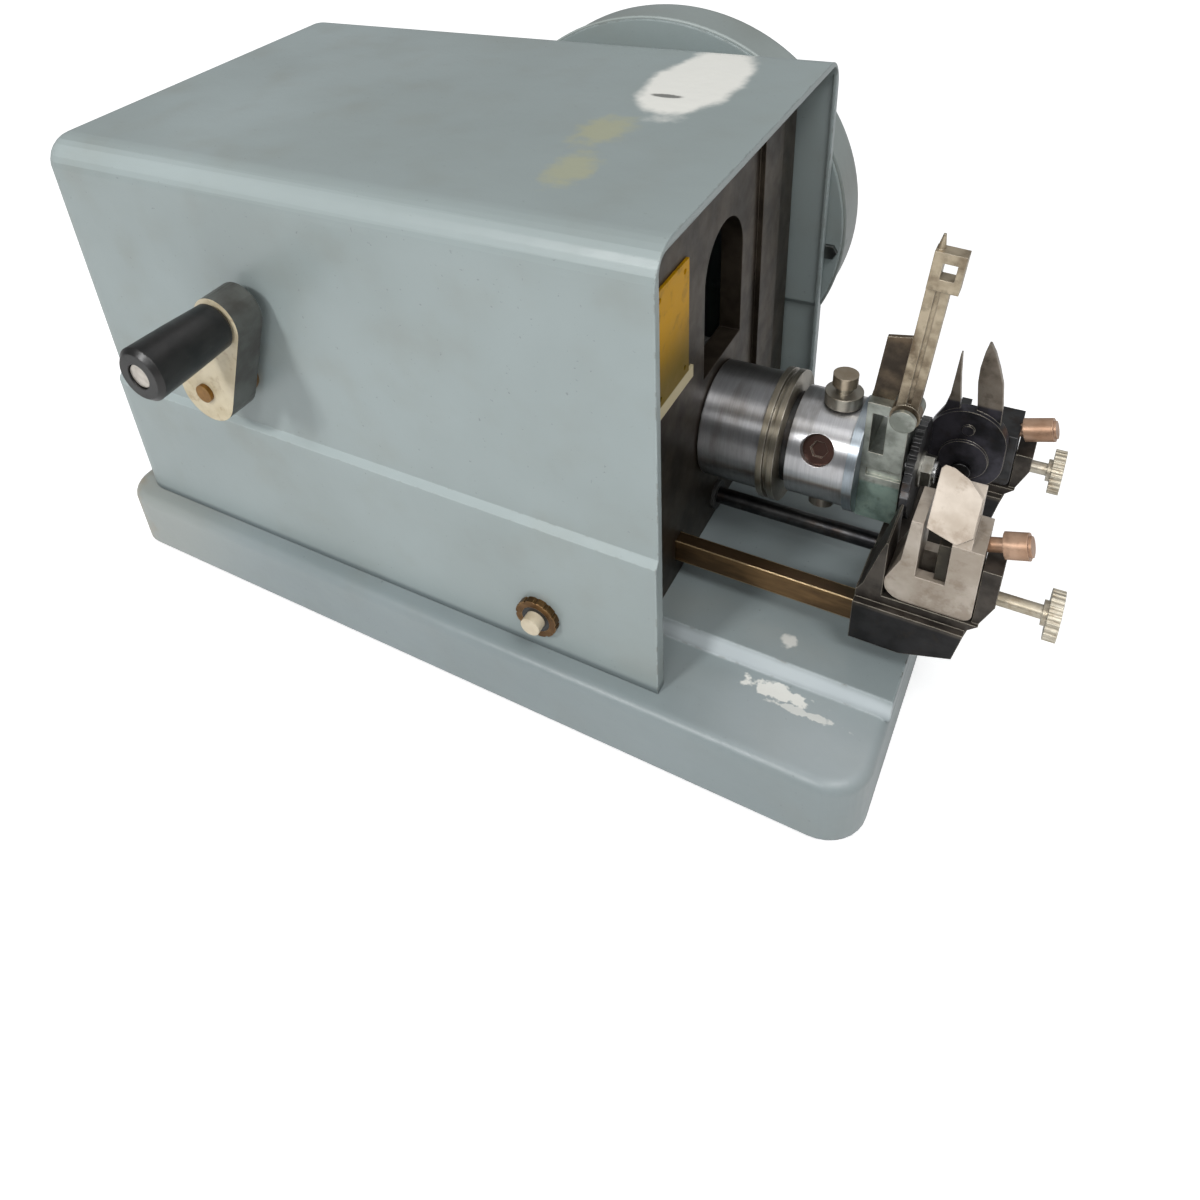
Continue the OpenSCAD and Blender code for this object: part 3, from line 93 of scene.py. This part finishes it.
class Finish:
    """A node material under construction. The methods that make a value return its socket.

    Places are the object's own coordinates. For a CAD node those are the frame's at rest, so
    marks ride with their body. Directions are the world's."""

    def __init__(self, name):
        self.material = bpy.data.materials.new(name)
        self.material.use_nodes = True
        self.nodes = self.material.node_tree.nodes
        self.links = self.material.node_tree.links
        self.shader = self.nodes["Principled BSDF"]
        self.place = self.nodes.new("ShaderNodeTexCoord").outputs["Object"]

    def _put(self, socket, value):
        if isinstance(value, bpy.types.NodeSocket):
            self.links.new(value, socket)
        elif isinstance(value, tuple) and len(value) == 3 and socket.type == "RGBA":
            socket.default_value = (*value, 1)
        else:
            socket.default_value = value

    def _node(self, kind, inputs=(), **settings):
        node = self.nodes.new(kind)
        for name, value in settings.items():
            setattr(node, name, value)
        for key, value in dict(inputs).items():
            self._put(node.inputs[key], value)
        return node

    def set(self, name, value):
        self._put(self.shader.inputs[name], value)

    def complete(self, tone, roughness, normal, metallic=0.0):
        """Connect what every finish on the object has, and return its material."""
        self.set("Base Color", tone)
        self.set("Metallic", metallic)
        self.set("Roughness", roughness)
        self.set("Normal", normal)
        return self.material

    def ringed(self):
        """Stretch the highlights along X, as the rings that a lathe leaves do."""
        tangent = self._node("ShaderNodeTangent", direction_type="RADIAL", axis="X")
        self.set("Tangent", tangent.outputs[0])
        self.set("Anisotropic", 0.85)
        self.set("Anisotropic Rotation", 0.25)

    def math(self, operation, a, b):
        return self._node("ShaderNodeMath", {0: a, 1: b}, operation=operation).outputs[0]

    def ramp(self, value, low, high):
        """0 at low and 1 at high, smooth between; low may be the larger."""
        inputs = {"Value": value, "From Min": low, "From Max": high}
        if low > high:
            inputs = {"Value": value, "From Min": high, "From Max": low, "To Min": 1, "To Max": 0}
        node = self._node("ShaderNodeMapRange", inputs, interpolation_type="SMOOTHSTEP")
        return node.outputs[0]

    def spread(self, value, low, high):
        """A 0..1 socket as a number between low and high."""
        inputs = {"Value": value, "To Min": low, "To Max": high}
        return self._node("ShaderNodeMapRange", inputs).outputs[0]

    def mix(self, factor, a, b):
        node = self._node("ShaderNodeMix", data_type="RGBA")
        self._put(node.inputs["Factor"], factor)
        self._put(node.inputs[COLOUR_A], a)
        self._put(node.inputs[COLOUR_B], b)
        return node.outputs[COLOUR_OUT]

    def over(self, tone, colour, amount, mask):
        """The tone with an amount of a colour laid over it where the mask is 1."""
        return self.mix(self.math("MULTIPLY", mask, amount), tone, colour)

    def axis(self, name):
        return self._node("ShaderNodeSeparateXYZ", {0: self.place}).outputs[name]

    def coordinates(self, scale, shift):
        inputs = {"Vector": self.place, "Scale": scale, "Location": shift}
        return self._node("ShaderNodeMapping", inputs).outputs[0]

    def length(self, vector):
        node = self._node("ShaderNodeVectorMath", {0: vector}, operation="LENGTH")
        return node.outputs["Value"]

    def cosine(self, a, b):
        node = self._node("ShaderNodeVectorMath", {0: a, 1: b}, operation="DOT_PRODUCT")
        return node.outputs["Value"]

    def normal(self):
        return self._node("ShaderNodeNewGeometry").outputs["Normal"]

    def camera_rays(self):
        return self._node("ShaderNodeLightPath").outputs["Is Camera Ray"]

    def noise(self, scale, detail=4, rough=0.55, stretch=(1, 1, 1), seed=0):
        """Noise with scale features a metre, times the stretch along each axis."""
        where = self.coordinates(stretch, tuple(seed * step for step in SEED_STEP))
        inputs = {"Vector": where, "Scale": scale, "Detail": detail, "Roughness": rough}
        return self._node("ShaderNodeTexNoise", inputs).outputs["Fac"]

    def spots(self, low, high, **noise):
        """Noise cut into spots: 0 up to low and 1 from high."""
        return self.ramp(self.noise(**noise), low, high)

    def facing(self, direction, low, high):
        """1 where the surface faces a direction: low and high are cosines between them."""
        return self.ramp(self.cosine(self.normal(), direction), low, high)

    def patch(self, centre, size, ragged, grain, soft):
        """1 inside a ragged blot round centre, whose half sizes are given per axis."""
        scale = tuple(1 / s for s in size)
        shift = tuple(-c / s for c, s in zip(centre, size))
        away = self.length(self.coordinates(scale, shift))
        swing = self.math("SUBTRACT", self.noise(scale=grain, detail=5), 0.5)
        wobble = self.math("MULTIPLY", swing, ragged * BLOT_SWING)
        return self.ramp(self.math("ADD", away, wobble), 1 + soft, 1 - soft)

    def rounded(self, radius):
        """The surface's normal, rounded over its edges."""
        return self._node("ShaderNodeBevel", {"Radius": radius}, samples=BEVEL_SAMPLES).outputs[0]

    def edges(self, rounded):
        """1 along the edges, where the rounded normal turns away from the true one."""
        return self.ramp(self.cosine(rounded, self.normal()), *EDGE_COSINES)

    def bump(self, height, normal, depth):
        inputs = {"Height": height, "Distance": depth, "Normal": normal}
        return self._node("ShaderNodeBump", inputs).outputs[0]


# ---- Paint ----

# Rougher than 0.28 everywhere, because the denoiser draws hard-edged patches below that
ENAMEL_ROUGHNESS = (0.3, 0.4)
DUST = linear(128, 126, 112)
SPECK = linear(84, 84, 78)
CHIPPED = linear(96, 88, 74)
# Painted shade along the cover's foot, where it meets the base: its colour, and the heights where
# it fades out and where it is full
SEAM_SHADE = linear(72, 82, 86)
SEAM_SHADE_END, SEAM_SHADE_FULL = 0.0058, 0.0016  # heights above a seam
# Cosines to straight up and to straight down, where a surface starts to count as a slope and where
# it fully does: a slope is neither upright nor level
OFF_UPRIGHT = (0.2, 0.5)
OFF_LEVEL = (-0.93, -0.75)


def enamel(name, colour, shade, patches=(), wear=0.5, radius=0.0006, seam=None, polish=0.0):
    """Old gloss enamel: mottled, faintly wavy, dusty, and worn through along the edges, with a
    paler painted highlight along them and on slopes.

    seam is the height of a joint above which a narrow band of painted shade darkens the paint. The
    last argument is how strongly slopes and rounded edges get a paler painted highlight."""
    finish = Finish(name)
    tone = finish.mix(finish.spots(0.3, 0.7, scale=7, detail=3), colour, shade)
    dirt = finish.spots(0.45, 0.8, scale=30, detail=3, rough=0.5, seed=3)
    tone = finish.over(tone, DUST, 0.2, dirt)
    tone = finish.over(tone, SPECK, 0.35, finish.spots(0.70, 0.78, scale=420, detail=2, seed=5))
    rounded = finish.rounded(radius)
    worn = finish.edges(rounded)
    # Painted highlight: a paler tone on slopes and along every edge; the same edge mask also places
    # the chips below
    pale = lifted(colour, 1.5, 0.06)
    raised = finish.facing((0, 0, 1), *OFF_UPRIGHT)
    slope = finish.math("MULTIPLY", raised, finish.facing((0, 0, -1), *OFF_LEVEL))
    tone = finish.over(tone, pale, polish, slope)
    tone = finish.over(tone, pale, 0.5, worn)
    # Painted shade in a narrow band just above the seam
    if seam is not None:
        low = finish.ramp(finish.axis("Z"), seam + SEAM_SHADE_END, seam + SEAM_SHADE_FULL)
        tone = finish.over(tone, SEAM_SHADE, 0.65, low)
    flakes = finish.spots(0.53, 0.60, scale=150, detail=5, rough=0.7, seed=2)
    tone = finish.over(tone, CHIPPED, wear, finish.math("MULTIPLY", worn, flakes))
    for centre, size, patch_colour, amount, ragged, grain, soft in patches:
        blot = finish.patch(centre, size, ragged, grain, soft)
        tone = finish.over(tone, patch_colour, amount, blot)
    roughness = finish.spread(finish.noise(scale=26, detail=3, seed=4), *ENAMEL_ROUGHNESS)
    wavy = finish.bump(finish.noise(scale=55, detail=2, seed=6), rounded, depth=0.0004)
    normal = finish.bump(finish.noise(scale=900, detail=3, seed=7), wavy, depth=0.00004)
    return finish.complete(tone, roughness, normal)


WHITE_CHIP = linear(232, 231, 224)
OLD_YELLOW = linear(176, 170, 116)
# Each row: centre, half sizes, colour, amount, raggedness, grain, softness
COVER_PATCHES = (
    # Painted shade over the top's right part, then its white worn place, a dark mark in that, two
    # yellowed places
    ((0.040, 0.000, 0.300), (0.13, 0.16, 0.02), linear(132, 142, 141), 0.5, 0.2, 14, 0.6),
    ((0.057, 0.076, 0.296), (0.025, 0.054, 0.02), WHITE_CHIP, 0.94, 0.22, 50, 0.14),
    ((0.050, 0.050, 0.296), (0.008, 0.0025, 0.02), linear(52, 52, 48), 0.8, 0.3, 200, 0.3),
    ((0.040, -0.004, 0.296), (0.012, 0.017, 0.02), OLD_YELLOW, 0.42, 0.6, 110, 0.5),
    ((0.048, -0.050, 0.296), (0.010, 0.018, 0.02), OLD_YELLOW, 0.40, 0.6, 110, 0.5),
)
GUARD_SHADE = (
    # Painted shade low on the right
    ((0.080, 0.160, 0.080), (0.06, 0.09, 0.16), linear(84, 84, 76), 0.45, 0.2, 14, 0.7),
)
BASE_PATCHES = (
    # Painted light on the left corner, painted shade along the near side and painted light on the
    # right corner
    ((-0.290, -0.130, 0.03), (0.10, 0.06, 0.06), linear(172, 174, 166), 0.55, 0.2, 12, 0.5),
    ((0.010, -0.145, 0.02), (0.26, 0.03, 0.05), linear(122, 133, 135), 0.5, 0.2, 12, 0.5),
    ((0.205, -0.106, 0.049), (0.07, 0.034, 0.005), linear(176, 184, 187), 0.6, 0.2, 14, 0.6),
    # A painted highlight along the bed's near edge
    ((0.150, -0.076, 0.0505), (0.09, 0.0026, 0.006), linear(206, 214, 217), 0.75, 0.15, 40, 0.5),
    # Two white chips in front of the bed and one on it
    ((0.165, -0.086, 0.046), (0.017, 0.0045, 0.004), WHITE_CHIP, 0.85, 0.9, 170, 0.15),
    ((0.183, -0.092, 0.046), (0.015, 0.0020, 0.004), WHITE_CHIP, 0.6, 0.9, 220, 0.15),
    ((0.164, -0.060, 0.055), (0.0035, 0.004, 0.004), WHITE_CHIP, 0.6, 0.6, 250, 0.3),
    # A brown rub on the left corner
    ((-0.272, -0.126, 0.02), (0.012, 0.02, 0.03), linear(150, 128, 96), 0.45, 0.9, 90, 0.6),
)
COVER_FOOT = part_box("cover")[0][2]

AMBER_HEIGHTS = (0.236, 0.194)  # where the amber starts to darken and where it is darkest
STRIP_HEIGHTS = (0.1878, 0.1868)  # where the amber ends and where the bare strip begins


def amber(name):
    """Amber enamel that darkens downwards, over a bare cream strip."""
    finish = Finish(name)
    height = finish.axis("Z")
    low = finish.ramp(height, *AMBER_HEIGHTS)
    tone = finish.mix(low, linear(206, 152, 8), linear(112, 92, 26))
    tone = finish.over(tone, linear(120, 96, 40), 0.4, finish.spots(0.5, 0.7, scale=120, detail=5))
    tone = finish.mix(finish.ramp(height, *STRIP_HEIGHTS), tone, linear(196, 184, 150))
    rounded = finish.rounded(radius=0.0004)
    finish.set("Specular IOR Level", 0.2)
    roughness = finish.spread(finish.noise(scale=90), 0.42, 0.6)
    normal = finish.bump(finish.noise(scale=500, detail=3), rounded, depth=0.00003)
    return finish.complete(tone, roughness, normal)


def crank_paint(name):
    """Cream on the arm's outer face, dark grey on its other faces."""
    finish = Finish(name)
    cloud = finish.spots(0.35, 0.7, scale=60)
    cream = finish.mix(cloud, linear(212, 200, 172), linear(190, 176, 144))
    tan = finish.spots(0.54, 0.7, scale=160, detail=5, seed=2)
    cream = finish.over(cream, linear(150, 122, 84), 0.5, tan)
    black = finish.mix(cloud, linear(84, 86, 82), linear(62, 60, 56))
    tone = finish.mix(finish.facing((0, -1, 0), 0.5, 0.85), black, cream)
    rounded = finish.rounded(radius=0.0008)
    roughness = finish.spread(finish.noise(scale=90, seed=3), 0.3, 0.46)
    normal = finish.bump(finish.noise(scale=500, detail=3), rounded, depth=0.00004)
    return finish.complete(tone, roughness, normal)


# ---- Metal ----

# Painted reflection: the dark tone that turned steel gets on top and underneath
DARK_REFLECTION = linear(62, 58, 54)
# A direction, and the cosines to it where the painted reflection starts and where it is full
REFLECTION_ABOVE = ((0, 0.5, 0.87), 0.72, 0.97)
REFLECTION_BELOW = ((0, -0.4, -0.92), 0.5, 0.97)
ZONE_BLEND = 0.001  # half the height over which two zones meet
KNOB_HEIGHTS = (0.166, 0.168)  # between the clamp head's studs and its knob
SOCKET_OUT = (0, -0.866, 0.5)  # the way that the clamp head's set screw faces
END_SCREW_PLACES = (-0.150, -0.152)  # along Y, between the arm's screws and the grip's


def metal(name, light, dark, rough, grain=(1, 1, 1), stain=None, amount=0.0, metallic=1.0):
    """Bare metal with tool marks, drawn out by a grain, stains, and bright rubbed edges."""
    finish = Finish(name)
    marks = finish.noise(scale=260, rough=0.6, stretch=grain)
    tone = finish.mix(finish.spots(0.35, 0.68, scale=45, seed=1), light, dark)
    tone = finish.over(tone, dark, 0.35, marks)
    if stain:
        spots = finish.spots(0.50, 0.66, scale=95, detail=6, rough=0.68, seed=2)
        tone = finish.over(tone, stain, amount, spots)
    rounded = finish.rounded(radius=0.0007)
    rubbed = finish.edges(rounded)
    tone = finish.over(tone, lifted(light, 1.5, 0.06), 0.45, rubbed)
    roughness = finish.spread(finish.noise(scale=130, detail=5, seed=3), rough - 0.08, rough + 0.16)
    normal = finish.bump(marks, rounded, depth=0.00003)
    return finish.complete(tone, roughness, normal, metallic)


def casting(name, colour, dark, rough=0.5, depth=0.0002, metallic=0.25):
    """A rough cast surface with an oily film."""
    finish = Finish(name)
    tone = finish.mix(finish.spots(0.35, 0.7, scale=60, detail=5, seed=1), colour, dark)
    dust = finish.spots(0.58, 0.72, scale=180, detail=6, rough=0.7, seed=2)
    tone = finish.over(tone, lifted(colour, 2.2, 0.02), 0.25, dust)
    rounded = finish.rounded(radius=0.0009)
    rubbed = finish.edges(rounded)
    tone = finish.over(tone, lifted(colour, 2.6, 0.03), 0.35, rubbed)
    roughness = finish.spread(finish.noise(scale=75, seed=3), rough - 0.12, rough + 0.12)
    normal = finish.bump(finish.noise(scale=520, detail=6, rough=0.7), rounded, depth)
    return finish.complete(tone, roughness, normal, metallic)


def turned(name, light, dark, rough, film, amount, bands):
    """Steel turned round an X axis, with smears of an oily film and a painted dark reflection on
    top and underneath.

    bands is how dark the painted reflection is on top and underneath."""
    finish = Finish(name)
    finish.ringed()
    rings = finish.noise(scale=160, detail=5, rough=0.7, stretch=(9, 0.3, 0.3))
    tone = finish.mix(rings, light, dark)
    smear = finish.spots(0.48, 0.68, scale=26, stretch=(3, 1, 1), seed=2)
    tone = finish.over(tone, film, amount, smear)
    # Painted reflection, dark where the steel faces up and back or down
    darkening = finish.math("MAXIMUM", finish.facing(*REFLECTION_ABOVE), finish.facing(*REFLECTION_BELOW))
    tone = finish.over(tone, DARK_REFLECTION, bands, darkening)
    rounded = finish.rounded(radius=0.0006)
    rubbed = finish.edges(rounded)
    tone = finish.over(tone, linear(240, 236, 226), 0.6, rubbed)
    roughness = finish.spread(rings, rough - 0.04, rough + 0.16)
    normal = finish.bump(rings, rounded, depth=0.00003)
    return finish.complete(tone, roughness, normal, metallic=0.94)


def zoned(name, height, above, below, rough=0.34):
    """Two tones of worn metal that meet at a height on the part at rest."""
    finish = Finish(name)
    cloud = finish.spots(0.35, 0.68, scale=70, detail=5)
    upper = finish.mix(cloud, *above)
    lower = finish.mix(cloud, *below)
    raised = finish.ramp(finish.axis("Z"), height - ZONE_BLEND, height + ZONE_BLEND)
    tone = finish.mix(raised, lower, upper)
    spots = finish.spots(0.52, 0.68, scale=150, detail=6, rough=0.68, seed=2)
    tone = finish.over(tone, linear(52, 44, 34), 0.35, spots)
    rounded = finish.rounded(radius=0.0006)
    rubbed = finish.edges(rounded)
    tone = finish.over(tone, linear(206, 198, 180), 0.5, rubbed)
    roughness = finish.spread(finish.noise(scale=130, detail=5, seed=3), rough - 0.08, rough + 0.16)
    normal = finish.bump(finish.noise(scale=300), rounded, depth=0.00003)
    return finish.complete(tone, roughness, normal, metallic=0.7)


def clamp_hardware(name):
    """A brown-stained knob over bright studs, and a set screw whose end is red-brown, darkened as
    painted shade in its socket.
    """
    finish = Finish(name)
    shade = finish.noise(scale=150)
    bright = finish.mix(shade, linear(190, 186, 176), linear(140, 132, 118))
    stained = finish.mix(shade, linear(208, 196, 176), linear(146, 126, 100))
    tone = finish.mix(finish.ramp(finish.axis("Z"), *KNOB_HEIGHTS), bright, stained)
    # The set screw's end: red-brown, darkened as painted shade in its socket
    red = finish.mix(shade, linear(84, 58, 50), linear(34, 28, 26))
    tone = finish.mix(finish.facing(SOCKET_OUT, 0.9, 0.97), tone, red)
    rounded = finish.rounded(radius=0.0006)
    rubbed = finish.edges(rounded)
    tone = finish.over(tone, linear(226, 216, 196), 0.5, rubbed)
    normal = finish.bump(finish.noise(scale=300), rounded, depth=0.00003)
    return finish.complete(tone, finish.spread(shade, 0.2, 0.42), normal, metallic=0.85)


def crank_fasteners(name):
    """A steel screw in the grip's end and brass ones on the arm."""
    finish = Finish(name)
    shade = finish.noise(scale=260)
    brass = finish.mix(shade, linear(166, 124, 66), linear(104, 72, 36))
    steel = finish.mix(shade, linear(232, 226, 216), linear(170, 162, 152))
    tone = finish.mix(finish.ramp(finish.axis("Y"), *END_SCREW_PLACES), brass, steel)
    rounded = finish.rounded(radius=0.0006)
    normal = finish.bump(shade, rounded, depth=0.00003)
    return finish.complete(tone, finish.spread(shade, 0.25, 0.45), normal, metallic=0.85)


def oiled_bar(name):
    """A bronze bar with oily stains, painted shade on its top face, and bright edges that are
    rubbed bronze and painted highlight.
    """
    finish = Finish(name)
    marks = finish.noise(scale=240, detail=5, rough=0.65, stretch=(0.12, 1, 1))
    tone = finish.mix(marks, linear(150, 118, 80), linear(92, 68, 44))
    darkening = finish.spots(0.46, 0.66, scale=80, detail=5, stretch=(0.3, 1, 1), seed=2)
    tone = finish.over(tone, linear(62, 46, 32), 0.6, darkening)
    # Painted shade on the top face
    tone = finish.over(tone, linear(48, 38, 28), 0.75, finish.facing((0, 0, 1), 0.6, 0.9))
    rounded = finish.rounded(radius=0.0012)
    rubbed = finish.edges(rounded)
    # Bright edges: rubbed bronze, and a painted highlight
    tone = finish.over(tone, linear(232, 204, 158), 0.9, rubbed)
    normal = finish.bump(marks, rounded, depth=0.00004)
    return finish.complete(tone, finish.spread(marks, 0.24, 0.46), normal, metallic=0.8)


# ---- Plastic and rubber ----


def moulded(name, colour, dark, rough):
    """Aged moulded plastic or rubber with fine scratches and grime."""
    finish = Finish(name)
    tone = finish.mix(finish.spots(0.35, 0.7, scale=70), colour, dark)
    scuff = finish.spots(0.60, 0.72, scale=240, detail=6, rough=0.7, stretch=(1, 4, 1), seed=2)
    tone = finish.over(tone, lifted(colour, 1.6, 0.03), 0.3, scuff)
    rounded = finish.rounded(radius=0.0008)
    rubbed = finish.edges(rounded)
    tone = finish.over(tone, lifted(colour, 1.5, 0.05), 0.25, rubbed)
    roughness = finish.spread(finish.noise(scale=110, seed=3), rough - 0.07, rough + 0.16)
    normal = finish.bump(finish.noise(scale=600, seed=4), rounded, depth=0.00003)
    return finish.complete(tone, roughness, normal)


# ---- The finish of each node ----


def recipe(maker, *colours, **settings):
    """A maker with its colours and settings, which waits for the material's name."""
    return lambda name: maker(name, *colours, **settings)


# By the record's material slots
SLOT_FINISHES = {
    "grey_paint": recipe(enamel, linear(152, 163, 163), linear(143, 153, 152),
                         patches=COVER_PATCHES, radius=0.0016, seam=COVER_FOOT, polish=0.3),
    "base_paint": recipe(enamel, linear(146, 156, 158), linear(134, 144, 145),
                         patches=BASE_PATCHES, wear=0.8, radius=0.002),
    "motor_paint": recipe(enamel, linear(74, 82, 86), linear(58, 64, 68)),
    "amber_paint": amber,
    # Oily brown steel, made darker as painted shade for where it sits inside the cover
    "brown_steel": recipe(metal, linear(84, 75, 64), linear(54, 47, 39), rough=0.4,
                          grain=(1, 1, 0.2), stain=linear(48, 40, 32), amount=0.35, metallic=0.8),
    "dark_casting": recipe(casting, linear(74, 74, 72), linear(50, 49, 46)),
    "dark_steel": recipe(metal, linear(92, 92, 92), linear(48, 48, 50), rough=0.34,
                         stain=linear(60, 44, 30), amount=0.4),
    "dull_steel": recipe(metal, linear(176, 174, 166), linear(120, 118, 110), rough=0.34,
                         stain=linear(96, 84, 66), amount=0.45),
    "polished_steel": recipe(metal, linear(206, 206, 206), linear(150, 150, 150), rough=0.2,
                             grain=(6, 0.4, 0.4), stain=linear(110, 100, 84), amount=0.3),
    "nickel": recipe(metal, linear(214, 206, 190), linear(170, 160, 140), rough=0.36,
                     stain=linear(126, 102, 70), amount=0.5, metallic=0.75),
    "aluminium": recipe(metal, linear(190, 192, 194), linear(150, 152, 154), rough=0.3,
                        grain=(1, 6, 1)),
    "bronze": recipe(metal, linear(168, 132, 88), linear(96, 70, 44), rough=0.34,
                     grain=(0.15, 1, 1), stain=linear(60, 42, 26), amount=0.6),
    "copper": recipe(metal, linear(200, 168, 144), linear(160, 124, 98), rough=0.4,
                     stain=linear(104, 78, 58), amount=0.4, metallic=0.6),
    "black_rubber": recipe(moulded, linear(34, 34, 34), linear(24, 24, 24), rough=0.6),
    "black_plastic": recipe(moulded, linear(24, 22, 21), linear(9, 9, 9), rough=0.34),
    "cream_plastic": recipe(moulded, linear(208, 196, 172), linear(180, 164, 136), rough=0.35),
}

# By node, where its surface differs from the rest of its slot
NODE_FINISHES = {
    # The cover's paint made darker as painted shade, with a stronger painted highlight on its
    # slopes
    "belt_guard": recipe(enamel, linear(142, 151, 149), linear(130, 138, 135),
                         patches=GUARD_SHADE, radius=0.0016, seam=COVER_FOOT, polish=0.4),
    "guard_bolts": recipe(metal, linear(158, 160, 158), linear(104, 106, 104), rough=0.34),
    "quill_sleeve": recipe(turned, linear(190, 190, 192), linear(138, 138, 140), rough=0.3,
                           film=linear(104, 96, 84), amount=0.4, bands=0.75),
    "quill_collar": recipe(turned, linear(176, 168, 152), linear(112, 104, 90), rough=0.34,
                           film=linear(72, 60, 44), amount=0.6, bands=0.3),
    "clamp_head": recipe(turned, linear(228, 228, 230), linear(176, 176, 178), rough=0.28,
                         film=linear(96, 86, 72), amount=0.45, bands=0.5),
    "clamp_screws": clamp_hardware,
    "face_plate": recipe(turned, linear(206, 216, 224), linear(150, 160, 168), rough=0.34,
                         film=linear(104, 100, 90), amount=0.3, bands=0.3),
    "slot_block": recipe(zoned, height=0.122,
                         above=(linear(178, 182, 174), linear(126, 130, 122)),
                         below=(linear(150, 172, 162), linear(104, 122, 114))),
    "chip_shield": recipe(zoned, height=0.205,
                          above=(linear(112, 96, 78), linear(70, 58, 46)),
                          below=(linear(106, 92, 76), linear(58, 50, 42))),
    "setting_lever": recipe(zoned, height=0.190,
                            above=(linear(190, 176, 152), linear(112, 96, 76)),
                            below=(linear(168, 154, 132), linear(84, 72, 58))),
    "key_gauge": recipe(zoned, height=0.149,
                        above=(linear(158, 148, 136), linear(112, 102, 90)),
                        below=(linear(80, 78, 86), linear(40, 40, 43))),
    "near_jaw": recipe(metal, linear(196, 186, 174), linear(164, 152, 138), rough=0.42,
                       stain=linear(112, 92, 72), amount=0.35, metallic=0.45),
    "near_pad": recipe(metal, linear(96, 88, 74), linear(50, 46, 38), rough=0.4,
                       stain=linear(44, 38, 28), amount=0.5, metallic=0.6),
    "carriage": recipe(zoned, height=0.090, rough=0.45,
                       above=(linear(84, 78, 72), linear(50, 46, 42)),
                       below=(linear(46, 45, 46), linear(28, 27, 27))),
    "crank_arm": crank_paint,
    "crank_grip": recipe(casting, linear(30, 28, 27), linear(9, 9, 9), rough=0.36,
                         depth=0.00005, metallic=0),
    "crank_screws": crank_fasteners,
    "feed_bar": oiled_bar,
}


def dress_frame():
    """Give each CAD node its own finish, or else its slot's."""
    slots = {slot: make(slot) for slot, make in SLOT_FINISHES.items()}
    own = {node: make(node) for node, make in NODE_FINISHES.items()}
    for part in frame["record"]["subparts"]:
        node = part["node"]
        materials = frame["nodes"][node].data.materials
        materials.clear()
        materials.append(own[node] if node in own else slots[part["material_slot"]])


# ---- Light and floor ----

LAMPS = {
    # name: (place, aim, size, watts)
    "key": ((-0.5, -1.8, 1.7), (0, 0, 0.15), 0.3, 23),
    "front": ((0.45, -1.95, 1.6), (0.1, 0, 0.12), 0.5, 8),
    "top": ((0.2, 0.5, 2.0), (0, 0, 0.2), 1.6, 6),
    "side": ((1.1, -0.75, 2.2), (0.15, 0, 0.1), 0.8, 20),
}
WHITE = (1, 1, 1, 1)
SKY_COLOUR = (0.96, 0.98, 1, 1)
SKY_STRENGTH = 0.27
FLOOR_HALF_SIZE = 20
FLOOR_HEIGHT = -0.0005
FLOOR_TONES = ((0.93, 0.93, 0.93), (0.96, 0.96, 0.96))
GLOW_REACH = (0.7, 2.2)  # distances from the origin, between which the floor's glow grows
GLOW = (0.52, 0.8)  # its strength near and far


def add_lamps():
    for name, (place, aim, size, watts) in LAMPS.items():
        data = bpy.data.lights.new(name, "AREA")
        data.shape = "SQUARE"
        data.size, data.energy = size, watts
        lamp = bpy.data.objects.new(name, data)
        lamp.location = place
        lamp.rotation_mode = "QUATERNION"
        lamp.rotation_quaternion = (Vector(aim) - lamp.location).to_track_quat("-Z", "Y")
        bpy.context.scene.collection.objects.link(lamp)


def add_sky():
    """A soft sky over the object that the camera sees as plain white."""
    world = bpy.data.worlds.new("studio")
    world.use_nodes = True
    nodes, links = world.node_tree.nodes, world.node_tree.links
    sky = nodes["Background"]
    sky.inputs["Color"].default_value = SKY_COLOUR
    sky.inputs["Strength"].default_value = SKY_STRENGTH
    white = nodes.new("ShaderNodeBackground")
    white.inputs["Color"].default_value = WHITE
    white.inputs["Strength"].default_value = 1
    path = nodes.new("ShaderNodeLightPath")
    seen = nodes.new("ShaderNodeMath")
    seen.operation = "MAXIMUM"
    links.new(path.outputs["Is Camera Ray"], seen.inputs[0])
    links.new(path.outputs["Is Transmission Ray"], seen.inputs[1])
    mix = nodes.new("ShaderNodeMixShader")
    links.new(seen.outputs[0], mix.inputs[0])
    links.new(sky.outputs[0], mix.inputs[1])
    links.new(white.outputs[0], mix.inputs[2])
    links.new(mix.outputs[0], nodes["World Output"].inputs["Surface"])
    bpy.context.scene.world = world


def add_floor():
    """A pale floor with a glow that only the camera sees, so it doesn't light the object."""
    bm = bmesh.new()
    bmesh.ops.create_grid(bm, x_segments=1, y_segments=1, size=FLOOR_HALF_SIZE)
    data = bpy.data.meshes.new("floor")
    bm.to_mesh(data)
    bm.free()
    floor = bpy.data.objects.new("floor", data)
    floor.location.z = FLOOR_HEIGHT
    bpy.context.scene.collection.objects.link(floor)
    finish = Finish("floor")
    finish.set("Base Color", finish.mix(finish.noise(scale=30, detail=3), *FLOOR_TONES))
    finish.set("Roughness", 0.8)
    finish.set("Emission Color", WHITE)
    glow = finish.spread(finish.ramp(finish.length(finish.place), *GLOW_REACH), *GLOW)
    finish.set("Emission Strength", finish.math("MULTIPLY", finish.camera_rays(), glow))
    floor.data.materials.append(finish.material)


add_camera()
add_lamps()
add_sky()
add_floor()
dress_frame()

bpy.context.scene.view_settings.view_transform = "Standard"
